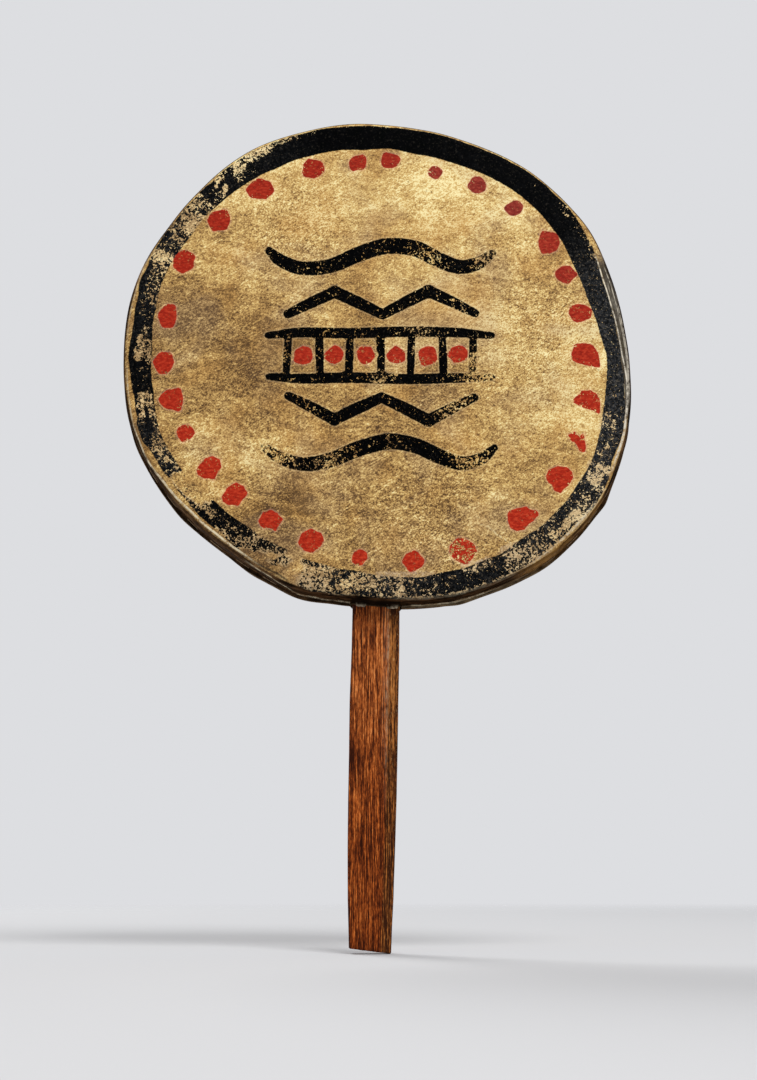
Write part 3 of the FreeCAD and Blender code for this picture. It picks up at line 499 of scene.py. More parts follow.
# worn places of the strokes: (x, z, size, share worn away)
STROKE_WEAR = [
    (28, 58, 12, 0.34), (60, 56, 9, 0.5), (44, 30, 12, 0.2), (-46, 26, 9, 0.15),
    (-58, -57, 14, 0.58), (-26, -61, 13, 0.40), (50, -60, 13, 0.5), (8, -52, 10, 0.2),
    (-38, -31, 10, 0.30), (40, -31, 12, 0.45), (56, -10, 14, 0.58), (-57, 2, 9, 0.42),
    (24, 13, 13, 0.34), (2, -13, 10, 0.30), (-27, 12, 9, 0.15),
]
# a fine light scratch low on the right: (x, z, width)
SCRATCH = [
    (48.5, -95.6, 0.3), (54.5, -97.7, 0.8), (60.2, -98.9, 1.0), (63.6, -102.9, 1.1),
    (69.2, -106.4, 0.9), (74.9, -109.9, 0.5),
]
# light and dark of the hides, and how coarse the front's mottle is: (x, z, size, amount)
FRONT_TONE = [
    (46, 76, 40, 0.16), (80, 64, 26, 0.08), (100, 0, 36, 0.10), (-62, 62, 30, 0.07),
    (-70, -12, 34, -0.12), (-26, -72, 34, -0.10), (12, -86, 30, -0.08), (28, -10, 32, -0.06),
    (-100, -66, 26, 0.10), (64, -70, 30, 0.02), (-10, 22, 26, -0.06), (-62, 32, 20, 0.02),
    (-104, 24, 26, -0.16), (-72, -65, 28, 0.21), (-27, -90, 26, 0.12), (82, 62, 30, -0.19),
    (102, -42, 28, 0.12), (92, 20, 24, -0.14), (14, -102, 26, 0.05),
]
BACK_TONE = [
    (-50, 60, 44, 0.10), (60, -40, 50, -0.10), (20, 20, 40, -0.05), (-70, -60, 40, 0.08),
    (10, -100, 40, -0.14),
]
FRONT_GRIT = [
    (92, 8, 34, 0.38), (26, -104, 38, 0.42), (-45, 76, 22, 0.38), (-72, -70, 30, 0.16),
    (0, 96, 26, -0.08),
]
# pale lines along the rim, rubbed edges with painted highlights: (angle, distance in from the wall)
LINE_A = [
    (150, 0.2), (183, 1.9), (190, 1.6), (197, 0.8), (203, 0.45), (208, 0.7), (213, 1.4),
    (220, 1.8), (228, 2.1), (240, 1.6), (262, 0.4), (275, 0.2), (300, 0.2), (312, 2.4),
    (322, 2.2), (330, 1.6), (335, 1.8), (340, 1.3), (345, 2.0), (355, 2.1),
]
LINE_B = [
    (0, 0.8), (24, 0.8), (150, -0.4), (232, -0.5), (240, -0.55), (245, -0.9), (247.2, -4.5),
    (249.3, -11.0), (251, -13.2), (300, -13.4), (310, -13.4), (340, 0.8),
]
LINE_C = [(0, 4.0), (8, 4.3), (12, 4.9), (20, 5.2), (24, 4.3), (30, 4.0), (348, 1.9), (354, 2.2)]
LINE_D = [(0, 1.5), (20, 1.9), (150, 0.0), (348, 1.2)]
# a painted shadow line along the rim: (angle, distance in from the wall)
PAINTED_SHADOW_LINE = [
    (0, 0.7), (20, 0.9), (190, 0.4), (200, -0.6), (236, 0.6), (241, 1.7), (246, 2.3),
    (249, 1.4), (262, -0.6), (300, -0.4), (345, 0.2),
]


# ---------------------------------------------------------------- distances to painted shapes

OUTSIDE = -60.0  # stands for far outside a painted shape


def to_segment(x, z, start, end):
    """How far along a segment the nearest point lies, 0..1, and its distance."""
    dx, dz = end[0] - start[0], end[1] - start[1]
    share = ((x - start[0]) * dx + (z - start[1]) * dz) / (dx * dx + dz * dz)
    share = np.clip(share, 0, 1)
    return share, np.hypot(x - start[0] - share * dx, z - start[1] - share * dz)


def inside_stroke(x, z, knots):
    """Signed distance inside a polyline of changing width, positive inside."""
    best = np.full(x.shape, -1e3)
    for start, end in zip(knots[:-1], knots[1:]):
        share, distance = to_segment(x, z, start, end)
        best = np.maximum(best, (start[2] + (end[2] - start[2]) * share) / 2 - distance)
    return best


def inside_shape(x, z, corners):
    """Signed distance inside a closed outline, positive inside."""
    far = np.full(x.shape, 1e3)
    odd = np.zeros(x.shape, bool)
    for start, end in zip(corners, corners[1:] + corners[:1]):
        far = np.minimum(far, to_segment(x, z, start, end)[1])
        (ax, az), (bx, bz) = start, end
        rise = bz - az if abs(bz - az) > 1e-9 else 1e-9
        odd ^= ((az > z) != (bz > z)) & (x < ax + (z - az) * (bx - ax) / rise)
    return np.where(odd, far, -far)


def inside_hexagon(x, z, width, height, tilt, rng):
    """Signed distance inside an uneven six-sided dab with soft corners."""
    soft = np.zeros(x.shape)
    for k in range(6):
        side = math.radians(tilt) + 2 * math.pi * (k + rng.uniform(-0.26, 0.26)) / 6
        cos, sin = math.cos(side), math.sin(side)
        reach = math.hypot(width / 2 * cos, height / 2 * sin) * rng.uniform(0.84, 1.04)
        soft += np.exp(-(reach - (x * cos + z * sin)) / 0.8)
    return -0.8 * np.log(soft)


def curve_points(knots, per):
    """A Catmull-Rom curve through the knots, with `per` points to a span."""
    knots = np.array(knots, float)
    knots = np.vstack([2 * knots[0] - knots[1], knots, 2 * knots[-1] - knots[-2]])
    points = []
    for i in range(1, len(knots) - 2):
        before, here, there, after = knots[i - 1 : i + 3]
        square = 2 * before - 5 * here + 4 * there - after
        cube = 3 * here - before - 3 * there + after
        for s in np.arange(per) / per:
            points.append(0.5 * (2 * here + (there - before) * s + square * s**2 + cube * s**3))
    return np.array(points + [knots[-2]])


def stroke_field(x, z):
    field = np.full(x.shape, OUTSIDE)
    for knots in STROKES:
        if len(knots) > 2:
            curve = curve_points(knots, 10)
        else:
            # a straight stroke is lifted and widened a little at its middle
            middle = tuple(np.mean(knots, 0) + [0, 0.25, 0.5])
            curve = curve_points([knots[0], middle, knots[1]], 6)
        field = np.maximum(field, inside_stroke(x, z, curve))
    return field


def dab_field(x, z):
    """Signed distance inside the nearest dab, and that dab's shade and wear."""
    best = np.full(x.shape, OUTSIDE)
    shade, worn = np.zeros(x.shape), np.zeros(x.shape)
    for i, (mid_x, mid_z, width, height, tilt, maroon, wear) in enumerate(DABS):
        from_x, from_z = x - mid_x - 0.05, z - mid_z
        near = np.hypot(from_x, from_z) < 16
        from_x, from_z = from_x[near], from_z[near]
        corners = DAB_SHAPES.get((mid_x, mid_z))
        if corners:
            field = inside_shape(from_x, from_z, corners)
        else:
            rng = np.random.RandomState(900 + i * 7 + len(DABS))
            field = inside_hexagon(from_x, from_z, width, height, tilt, rng)
        field = field + 0.35 + 0.42 * lattice_noise(from_x, from_z, 3.2, 50 + i)
        take = field > best[near]
        hit = near.copy()
        hit[near] = take
        best[hit] = field[take]
        shade[hit] = maroon
        worn[hit] = wear
    return best, shade, worn


# ---------------------------------------------------------------- the shape of a head

INNER = -30.0  # value of "rho" on the inner surface
# attribute values at the middle of the outer and the inner face, where they aren't 0
MIDDLES = {"rho": (140, INNER), "deep": (0, 1), "swear": (0.1, 0), "stroke": (0, OUTSIDE)}
MIDDLES.update({key: (OUTSIDE, OUTSIDE) for key in ("band", "dab", "scratch")})
MIDDLES.update({key: (9, 9) for key in ("edge", "painted_shadow_line", "line_a", "line_b", "line_c", "line_d")})
MIDDLES["grit"] = (1, 1)

# places where the sewn lip stands out further: (angle, width, amount)
LIP_BUMPS = [
    (218, 4.5, 1.1), (239.5, 5, 0.9), (253.5, 5.5, 1.3), (287.6, 3.2, 1.2), (298, 5, 0.7),
    (306.5, 4, 0.8), (327, 2.2, 0.9), (262, 3, 0.4),
]


def columns():
    """Angles of the mesh columns, closer together around the handle."""
    coarse = np.arange(0, 360, 0.6)
    coarse = coarse[(coarse < 261.0) | (coarse > 277.6)]
    return np.sort(np.concatenate([coarse, np.arange(261.0, 277.6, 0.2)]))


def head_outline(front, seed):
    """Measures of the head at each angle."""
    angle = columns()
    cos, sin = np.cos(np.radians(angle)), np.sin(np.radians(angle))
    wall = wall_radius(angle)
    rim = wall + SIDE_GAP + 0.5 * bump_at(angle, 165, 9)
    bend = 4.4 + 0.7 * round_noise(angle, 14, seed)
    if front:
        bend += 2.4 * bump_at(angle, 10, 9) + 1.2 * bump_at(angle, 244, 7)
    bend = np.clip(bend, 3.0, 7.4)
    # the hide stops short over the handle
    rim_x = rim * cos
    slot = np.where(sin < 0, 1 - smooth(np.abs(rim_x - HANDLE_X), 13.1, 14.3), 0.0)
    seam = SEAM_DEPTH - 6.95 * slot
    lip = 1.7 + 0.24 * round_noise(angle, 40, seed + 1)
    for centre, width, amount in LIP_BUMPS:
        lip += amount * (0.9 if front else 1.0) * bump_at(angle, centre, width)
    lip += 0.45 * bump_at(angle, 269, 8)
    # two small flaps beside the handle, on the front head only
    left_flap = smooth(rim_x, -13.2, -12.2) * (1 - smooth(rim_x, -8.2, -7.2))
    right_flap = smooth(rim_x, 3.4, 4.6) * (1 - smooth(rim_x, 9.4, 10.4))
    flaps = np.where(sin < 0, left_flap + right_flap * 1.1, 0)
    if front:
        lip += flaps
    tip = rim + np.clip(lip, 1.2, 3.6)
    return SimpleNamespace(
        angle=angle, cos=cos, sin=sin, wall=wall, rim=rim, bend=bend, slot=slot, seam=seam,
        tip=tip, flaps=flaps, drop=seam - BEND_DEPTH,
    )


def head_rings(head, front, seed):
    """Radius, depth and distance in from the wall, ring by ring.

    The rings run from the middle of the face out, along the side, round the lip and back inside.
    """
    angle, wall, rim, bend, seam = head.angle, head.wall, head.rim, head.bend, head.seam
    pucker = 0.22 * round_noise(angle, 70, seed + 2) + 0.10 * np.cos(np.radians(angle) * 98)
    edge = rim - bend
    waviness = 1.0 if front else 1.2
    rings = []

    def ring(radius, depth, inset):
        rings.append(np.broadcast_arrays(radius, depth, inset, angle)[:3])

    def ripple(radius, fine):
        """The face's waviness, calm near the bend."""
        x, z = radius * head.cos, radius * head.sin
        depth = 0.16 * lattice_noise(x, z, 46, seed + 5)
        depth = depth + fine * lattice_noise(x, z, 12, seed + 6)
        return depth * smooth(rim - radius, bend, bend + 10) * waviness

    # face, falling slightly towards the rim
    spans = [np.linspace(0.02, 0.10, 4)[:-1], np.linspace(0.10, 0.84, 54)[:-1]]
    for f in np.concatenate(spans + [np.linspace(0.84, 1.0, 17)]):
        radius = edge * f
        depth = ripple(radius, 0.05) + 0.1225 * smooth(radius - rim, -bend - 9, -bend) ** 1.5
        ring(radius, depth, wall - radius)
    # bend over the hoop's edge
    start = depth
    for k in range(1, 15):
        turn = math.pi / 2 * k / 14
        radius = edge + bend * math.sin(turn)
        ring(radius, start * (1 - k / 14) + BEND_DEPTH * (1 - math.cos(turn)), wall - radius)
    # side
    fillet = 0.6
    side_end = seam - THICK - fillet
    for k in range(1, 10):
        f = k / 9
        depth = BEND_DEPTH + (side_end - BEND_DEPTH) * f
        wave = 0.18 * lattice_noise(angle * 2.45, depth, 9, seed + 8) * math.sin(math.pi * f)
        radius = rim + np.maximum(pucker * f + wave, -0.35) + 0.12
        ring(radius, depth, -SIDE_GAP - (depth - BEND_DEPTH))
    # turn out into the lip
    side = radius
    for k in (1, 2, 3):
        turn = math.pi / 2 * k / 3
        radius = side + fillet * (1 - math.cos(turn))
        ring(radius, side_end + fillet * math.sin(turn), -head.drop)
    warp = np.minimum(0.22 * round_noise(angle, 90, seed + 9) * (1 - head.slot), 0)
    middle = head.tip - THICK / 2
    for f in (0.5, 1.0):
        radius = (side + fillet) * (1 - f) + middle * f
        ring(radius, seam - THICK + warp * f, -head.drop - f)
    for k in range(1, 5):
        turn = math.pi * k / 4
        depth = seam - THICK / 2 - THICK / 2 * math.cos(turn) + warp
        ring(middle + THICK / 2 * math.sin(turn), depth, -head.drop - 2.0)
    # seam plane and the inner surface
    skin = rim - THICK
    ring(side + 0.2, seam, -head.drop - 3)
    ring(skin, seam, -head.drop - 3)
    for f in (0.33, 0.66, 1.0):
        ring(skin, seam + (BEND_DEPTH - seam) * f, INNER)
    for k in range(1, 4):
        turn = math.pi / 2 * k / 3
        depth = BEND_DEPTH - (BEND_DEPTH - THICK) * math.sin(turn)
        ring(edge + (bend - THICK) * math.cos(turn), depth, INNER)
    for f in (0.97, 0.9, 0.8, 0.6, 0.4, 0.2, 0.05):
        ring(edge * f, THICK + ripple(edge * f, 0.0), INNER)
    return np.array(rings).transpose(1, 0, 2)


# ---------------------------------------------------------------- attributes of the heads


def shared_fields(head, seed):
    angle, rho, drop = head.angle, head.rho, head.drop
    edge = np.where(rho > -29, np.clip(head.tip - head.radius, 0, 9), 9.0)
    # streaks that follow the rim
    flow = lattice_noise(angle * 2.5, np.clip(rho, -16, 8) * 7.0, 9.0, seed + 31, 3, 0.6)
    return {
        "rho": rho,
        "lip": (rho < -drop - 1.5) * (rho > -drop - 2.5) * 1.0,
        "deep": np.clip(-rho / 13.0, 0, 1),
        "angle": angle * 2.5,
        "edge": edge,
        "flow": flow,
    }


def band_fields(head):
    """The border band's signed distance and wear."""
    angle, rho, x, z = head.angle, head.rho, head.x, head.z
    outer = turn_table(angle, BAND_OUTER) + 0.35 * round_noise(angle, 60, 71)
    inner = turn_table(angle, BAND_INNER) + 0.30 * round_noise(angle, 36, 72)
    band = np.minimum(rho - outer, inner - rho)
    band = np.where(rho < 0, np.minimum(band, rho + 1.0), band)
    wear = -0.035 + 0.03 * lattice_noise(x, z, 22, 81)
    uneven = 1.1 * lattice_noise(x, z, 5, 85, 2)
    for start, end, near, far, amount in BAND_WEAR:
        along = np.abs(turn_from(angle, (start + end) / 2) + 0.5 * uneven)
        across = np.abs(rho - (near + far) / 2 + 0.6 * uneven)
        inside = 1 - smooth(along - (end - start) / 2, -0.1, 0.8)
        inside = inside * (1 - smooth(across - (far - near) / 2, -0.4, 0.9))
        wear = wear * (1 - inside) + amount * inside
    wear = np.where(wear < 0.9, wear * 0.86, wear)
    less = 1 - 0.12 * window(angle, 252, 300, 3)
    wear = wear * less - 0.05 * (1 - smooth(wear, 0.12, 0.42))
    return band, np.where(rho < -1.0, 0.30, wear)


def paint_fields(head):
    rho, x, z = head.rho, head.x, head.z
    band, wear = band_fields(head)
    stroke = np.full(x.shape, OUTSIDE)
    close = (np.hypot(x, z) < 100) & (rho > 18)
    stroke[close] = stroke_field(x[close], z[close])
    stroke_wear = 0.03 + 0.05 * lattice_noise(x, z, 16, 83)
    for spot_x, spot_z, size, amount in STROKE_WEAR:
        away = ((x - spot_x) ** 2 + (z - spot_z) ** 2) / size**2
        stroke_wear = np.maximum(stroke_wear, amount * np.exp(-(away**1.2)))
    dab, shade, worn = dab_field(x, z)
    return {
        "band": band,
        "wear": wear,
        "stroke": stroke,
        "swear": np.where(rho > 24, stroke_wear, wear),
        "dab": np.where(rho > 0, dab, OUTSIDE),
        "shade": shade,
        "worn": worn,
    }


def line_fields(head):
    """Pale lines, rubbed edges with painted highlights, and a painted shadow line: distance over half
    width, and strength.
    """
    angle = head.angle
    wide_a = 0.45 + windows(
        angle, (208, 238, 4, 0.2), (274, 301, 2, 0.25), (312, 323, 2, 0.3), (334, 350, 2, 0.3)
    )
    much_a = window(angle, 184, 240, 3) * (0.6 + 0.4 * window(angle, 200, 236, 3)) + windows(
        angle, (274, 301, 3, 0.12), (306, 323, 3, 0.6), (334, 356, 2, 1), (156, 176, 3, 0.35)
    )
    wide_b = 0.38 + 1.7 * bump_at(angle, 248.3, 1.6)
    much_b = windows(angle, (239, 263, 2, 0.62), (276, 296, 3, 0.45), (350, 372, 3, 0.6))
    much_c = window(angle, 349, 385, 1.5)
    much_d = 0.55 * window(angle, 348, 382, 2)
    much_shadow = windows(
        angle, (196, 236, 4, 0.6), (240, 249, 1.5, 0.9), (345, 382, 2, 0.7), (300, 334, 3, 0.4)
    )
    jitter = 0.12 * round_noise(angle, 50, 95)
    fields = {}
    for line, much, table, half_width, strength in [
        ("line_a", "much_a", LINE_A, wide_a, much_a),
        ("line_b", "much_b", LINE_B, wide_b, much_b),
        ("line_c", "much_c", LINE_C, 0.42, much_c),
        ("line_d", "much_d", LINE_D, 0.32, much_d),
        ("painted_shadow_line", "much_shadow", PAINTED_SHADOW_LINE, 0.7, much_shadow),
    ]:
        fields[line] = (head.rho - turn_table(angle, table) - jitter) / half_width
        fields[much] = strength
    return fields


def front_fields(head, edge):
    """Tone of the front hide, lighter towards the top and right as a painted light gradient, and
    where ash, soot with painted shade, a painted grey sheen and painted shade at the handle's slot
    lie along its rim.
    """
    angle, rho, x, z = head.angle, head.rho, head.x, head.z
    # the tone rises towards the top and the right: a painted light gradient, under the hide's own
    # spots of tone
    tone = 0.06 + 0.0010 * z + 0.0006 * x + spots(x, z, FRONT_TONE)
    # a painted grey sheen along the rim's right side
    grey = smooth(rho, -0.6, 0.4) * window(angle, 344, 385, 3)
    grey = grey * (1 - smooth(rho - turn_table(angle, BAND_OUTER), -0.2, 1.0))
    ash = windows(angle, (268, 309, 6, 0.75), (320, 345, 4, 0.7))
    ash = ash + 0.7 * window(angle, 250.5, 258, 2) * (1 - smooth(rho, 5, 10))
    return {
        "tone": tone + 0.04 * lattice_noise(x, z, 26, 91, 3),
        "scratch": inside_stroke(x, z, SCRATCH),
        "grey": grey,
        "ash": ash * (rho < 17),
        # painted shade in the slot where the handle passes the rim
        "painted_slot_shade": smooth(head.slot, 0.5, 1.0) * smooth(-rho, -0.5, 1.5),
        # soot and painted shade on the drum's underside
        "soot_and_shade": window(angle, 249, 301, 5),
        "greylip": window(angle, 276, 308, 5),
        "golden": window(angle, 301, 328, 4),
        "chalk_and_sheen": turn_table(angle, CHALK_AND_SHEEN),
        "grit": 0.97 + spots(x, z, FRONT_GRIT),
        "flap": head.flaps * (1 - smooth(edge, 0.9, 1.7)),
    }


def back_fields(head):
    angle, rho, x, z = head.angle, head.rho, head.x, head.z
    patchy = 0.5 + 0.5 * np.clip(round_noise(angle, 9, 201), 0, 1)
    uneven = 0.35 + 0.3 * round_noise(angle, 16, 205)
    return {
        "tone": 0.02 + 0.05 * lattice_noise(x, z, 34, 191, 2) + spots(x, z, BACK_TONE),
        "ridge": 0.6 * np.exp(-(((rho - 1.4) / 1.0) ** 2)) * patchy,
        # painted shade of the hoop: a darker ring just inside the rim
        "hoop_shadow_ring": np.exp(-(((rho - 9.0) / 1.3) ** 2)) * uneven,
    }


def build_head(name, front):
    seed = 3 if front else 57
    head = head_outline(front, seed)
    head.radius, depth, head.rho = head_rings(head, front, seed)
    head.x, head.z = head.radius * head.cos, head.radius * head.sin
    y = FRONT_Y + depth if front else -depth
    verts = np.stack([head.x.ravel(), y.ravel(), head.z.ravel()], 1)
    verts = np.vstack([verts, [0, y[0].mean(), 0], [0, y[-1].mean(), 0]]) * MM
    faces = closed_tube(*y.shape)
    fields = shared_fields(head, seed)
    if front:
        faces = [f[::-1] for f in faces]
        fields.update(paint_fields(head))
        fields.update(front_fields(head, fields["edge"]))
        fields.update(line_fields(head))
    else:
        fields.update(back_fields(head))
    attributes = {}
    for key, values in fields.items():
        values = np.broadcast_to(values, y.shape).ravel()
        attributes[key] = np.concatenate([values, MIDDLES.get(key, (0, 0))])
    if front:
        # the outer middle takes the stroke distance of its nearest neighbour
        nearest = np.argmin(np.hypot(head.x, head.z))
        attributes["stroke"][-2] = attributes["stroke"][nearest]
    ob = make_mesh(name, verts, faces, attributes)
    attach(ob, "root")
    return ob


# ---------------------------------------------------------------- rawhide materials


def hide_ground(mat, tone, grit=None):
    """Bare rawhide: colour, relief, lightness and fine grain."""
    broad = mat.noise(22, rough=0.55, warp=0.4)
    middle = mat.noise(90, detail=4, rough=0.62, warp=0.6)
    small = mat.noise(250, warp=0.4)
    warm = mat.noise(38, rough=0.5, warp=0.3, shift=(0.31, 0.7, 0.12))
    fibre_a = mat.noise((430, 300, 1250), detail=2, warp=0.5, lean=34)
    fibre_b = mat.noise((520, 300, 1050), detail=2, warp=0.5, lean=-22, shift=(3.1, 0.4, 7.7))
    grain = mat.noise(1200, detail=2, rough=0.7, warp=0.3)
    brushed = mat.noise((55, 300, 1300), detail=2, warp=0.7, lean=31, shift=(6.1, 1.4, 2.7))
    brushed_where = mat.noise(34, detail=2, rough=0.5, shift=(0.7, 0.1, 0.4))
    streaky = brushed.fit(0.56, 0.70) * brushed_where.fit(0.44, 0.60)
    mottle = fibre_a.swing(0.88) + fibre_b.swing(0.56) + grain.swing(1.45)
    if grit is not None:
        mottle = mottle * grit
    combed = mat.noise(
        (38, 300, 230), detail=4, rough=0.66, warp=0.6, lean=-5, shift=(4.7, 2.2, 0.9)
    )
    hairs = mat.noise((150, 300, 980), detail=2, warp=0.3, lean=-7, shift=(1.9, 0.8, 3.3))
    glow = mat.noise(44, warp=1.1, shift=(0.63, 0.27, 0.48)).fit(0.50, 0.64, soft=True)
    glow = glow * mat.noise(210, rough=0.62, warp=0.8, shift=(0.36, 0.9, 0.15)).fit(0.40, 0.58)
    light = combed.swing(0.62) + hairs.swing(0.42) + glow * 0.15 + (-0.022)
    light = light + broad.swing(0.85) + middle.swing(0.48) + small.swing(0.42)
    light = light + mottle + streaky * 0.26 + tone + 0.44
    colour = light.ramp(
        (0.04, 74, 50, 26), (0.24, 132, 98, 54), (0.43, 172, 134, 78),
        (0.57, 201, 162, 96), (0.74, 228, 194, 122), (0.95, 252, 236, 176),
    )
    ochre = warm.fit(0.48, 0.68, 0.0, 0.28)
    colour = ochre.mix(colour, (205, 150, 70), "MULTIPLY")
    colour = (ochre * 0.5).mix(colour, (214, 168, 92))
    dull = mat.noise(24, rough=0.55, warp=0.6, shift=(0.2, 0.55, 0.83))
    dull_colour = light.fit(0.2, 0.8).mix((118, 92, 64), (204, 176, 132))
    colour = dull.fit(0.50, 0.66, 0.0, 0.42).mix(colour, dull_colour)
    cells = {"Vector": mat.mapped(shift=(0.1, 0.2, 0.3)), "Scale": 330}
    pit = mat.node("TexVoronoi", cells, "Distance").fit(0.10, 0.24, 1.0, 0.0)
    pit = pit * mat.noise(130, detail=2, rough=0.5, shift=(0.5, 0.1, 0.9)).fit(0.60, 0.68)
    colour = (pit * 0.55).mix(colour, (74, 50, 30))
    height = grain * 0.5 + fibre_a * 0.4 + fibre_b * 0.4 + middle * 0.8 + pit * -0.5
    return colour, height, light, grain


def wall_streaks(mat, shifts, shares, level):
    """Streaks of the side: across, in layers, along the depth, patches and along the rim."""
    parts = [
        mat.noise((70, 640, 70), warp=0.8, shift=shifts[0]),
        mat.noise((42, 240, 42), warp=0.6, shift=shifts[1]),
        mat.noise((330, 110, 330), warp=0.6, shift=shifts[2]),
        mat.noise(230, detail=4, rough=0.7, warp=0.6),
        mat.attr("flow"),
    ]
    total = parts[0] * shares[0]
    for part, share in zip(parts[1:], shares[1:]):
        total = total + part * share
    return total + level


def front_wall(mat, side, rho):
    """The front head's side, brown with painted shade, golden in some places, grey in others, and
    near-black low down with soot and painted shade.
    """
    # dark browns of the side: the hide's own colour, darkened further as painted shade of the
    # downward-facing rim
    colour = side.ramp(
        (0.34, 14, 9, 5), (0.46, 44, 29, 17), (0.56, 80, 56, 34),
        (0.68, 126, 94, 60), (0.84, 172, 138, 94),
    )
    gold = side.fit(0.40, 0.62).mix((64, 40, 16), (150, 108, 54))
    colour = (mat.attr("golden") * 0.95).mix(colour, gold)
    # near-black low on the side: soot, with painted shade of the underside
    soot_and_shade = mat.attr("soot_and_shade") * rho.fit(-13.2, -12.0) * 0.86
    colour = soot_and_shade.mix(colour, side.fit(0.42, 0.64).mix((13, 8, 5), (66, 43, 26)))
    # the lip's face is dark brown, partly painted shade in the seam
    lip = side.fit(0.42, 0.62).mix((22, 15, 10), (66, 48, 32))
    pale_lip = side.fit(0.40, 0.60).mix((58, 47, 34), (132, 114, 86))
    lip = (mat.attr("greylip") * 0.85).mix(lip, pale_lip)
    return (rho.fit(-12.9, -13.6) * 0.85).mix(colour, lip)


def rim_dirt_shade_and_sheen(mat, colour, rho, on_wall):
    """Over the bend of the hide: old grime with painted shade, a painted grey sheen, and ash."""
    # darker brown over the bend: grime, and painted shade where the hide turns away from the light
    dirt_and_shade = rho.fit(3.4, -0.6, 0.0, 0.6, soft=True) * mat.noise(160).fit(0.38, 0.62)
    colour = (dirt_and_shade * on_wall.fit(0, 1, 1.0, 0.22)).mix(colour, (96, 68, 42))
    # painted grey sheen on the rim's right side
    slate_sheen = mat.noise((700, 700, 110), rough=0.7, warp=0.3, shift=(1, 4, 2)) * 0.7
    slate_sheen = (slate_sheen + mat.attr("flow") * 0.22 + 0.15).ramp(
        (0.34, 14, 13, 12), (0.48, 38, 38, 39), (0.61, 76, 75, 72), (0.76, 146, 138, 124)
    )
    colour = (mat.attr("grey") * 0.94).mix(colour, slate_sheen)
    ashy = mat.noise(700, rough=0.7).ramp(
        (0.34, 136, 108, 76), (0.5, 194, 166, 128), (0.66, 238, 218, 186)
    )
    ash = mat.attr("ash") * mat.attr("wear").fit(0.05, 0.3) * (1.0 - on_wall) * 0.62
    return ash.mix(colour, ashy)


def red_dabs(mat, colour, speck, wobble):
    dab = mat.attr("dab") + wobble * 0.32
    halo = dab.fit(-1.1, -0.1) * dab.fit(0.3, -0.1) * 0.26
    colour = halo.mix(colour, (236, 176, 150))
    streak = mat.noise((420, 420, 800), warp=0.3, turn=(0, 30, 0))
    red = streak.ramp((0.30, 140, 28, 14), (0.5, 172, 41, 21), (0.68, 200, 66, 38))
    deep_red = streak.ramp((0.30, 116, 24, 14), (0.5, 142, 32, 19), (0.68, 166, 48, 30))
    maroon = streak.ramp((0.30, 112, 32, 26), (0.5, 140, 48, 38), (0.70, 164, 72, 56))
    height = mat.node("SeparateXYZ", {0: mat.place()}, 2)
    red = height.fit(-0.07, 0.11, 0.0, 0.62).mix(red, deep_red)
    red = mat.attr("shade").mix(red, maroon)
    kept = speck.math("GREATER_THAN", mat.attr("worn") * 0.62)
    thin = dab.fit(2.6, 0.6).math("MAXIMUM", mat.attr("worn").fit(0.5, 0.7))
    mask = dab.fit(-0.12, 0.22) * thin.blend(kept.fit(0, 1, 0.74, 1.0), kept)
    return mask.mix(colour, red), mask


def black_paint(mat, colour, light, speck, fine, wobble):
    """The border band and the strokes in the middle."""
    band = mat.attr("band") + wobble * 0.42
    stroke = mat.attr("stroke") + wobble * 0.40
    keep_band = (speck - mat.attr("wear")).fit(-0.01, 0.02)
    keep_stroke = (speck - mat.attr("swear")).fit(-0.01, 0.02)
    band_mask = band.fit(-0.15, 0.2) * keep_band
    paint = band_mask.math("MAXIMUM", stroke.fit(-0.15, 0.2) * keep_stroke)
    # hide laid bare inside the band is a little paler
    bare = band.fit(0.0, 0.6) * (1.0 - keep_band) * mat.attr("wear").fit(0.92, 0.72) * 0.44
    colour = bare.mix(colour, light.fit(0.25, 0.75).mix((180, 150, 106), (248, 228, 184)))
    black = mat.noise(240, detail=4, rough=0.7).ramp(
        (0.3, 0, 1, 1), (0.55, 2, 2, 3), (0.75, 9, 10, 11)
    )
    # grey on the black paint: powdery wear, and a painted sheen on the right side
    chalk_and_sheen = mat.attr("chalk_and_sheen") * mat.attr("band").fit(-1.0, 0.0)
    greyed_black_and_sheen = mat.noise(620, rough=0.75).ramp(
        (0.32, 16, 17, 19), (0.5, 40, 42, 45), (0.66, 84, 85, 86)
    )
    black = (chalk_and_sheen * 0.72).mix(black, greyed_black_and_sheen)
    # pale flecks on the black: dust, and painted sheen where the paint greys
    dust_and_sheen = fine.fit(0.58, 0.68) * chalk_and_sheen.fit(0.0, 0.6, 0.05, 0.55)
    black = dust_and_sheen.mix(black, (128, 118, 102))
    edge_light = stroke.fit(-0.9, -0.2) * stroke.fit(0.1, -0.15) * 0.18
    colour = edge_light.mix(colour, (226, 205, 160))
    return paint.mix(colour, black), paint


def rim_lines(mat, colour):
    """The painted shadow line along the rim, and the pale lines: rubbed edges with painted
    highlights.
    """
    shadow = abs(mat.attr("painted_shadow_line")).fit(1.2, 0.3, soft=True) * mat.attr("much_shadow") * 0.8
    colour = shadow.mix(colour, (38, 27, 18))
    patchy = mat.noise(330, detail=4, rough=0.75, shift=(0.4, 0.9, 0.1)).fit(0.38, 0.54)
    # pale lines: rubbed edges with painted highlights on the bend and the lip
    ridge = None
    for which in "abcd":
        one = abs(mat.attr("line_" + which)).fit(1.25, 0.45, soft=True)
        one = one * mat.attr("much_" + which)
        ridge = ridge.math("MAXIMUM", one) if ridge else one
    ridge = ridge.math("MULTIPLY", patchy.fit(0.0, 1.0, 0.12, 1.0), clamp=True)
    pale = mat.attr("chalk_and_sheen").mix((238, 222, 184), (216, 208, 194))
    return ridge.mix(colour, pale), ridge


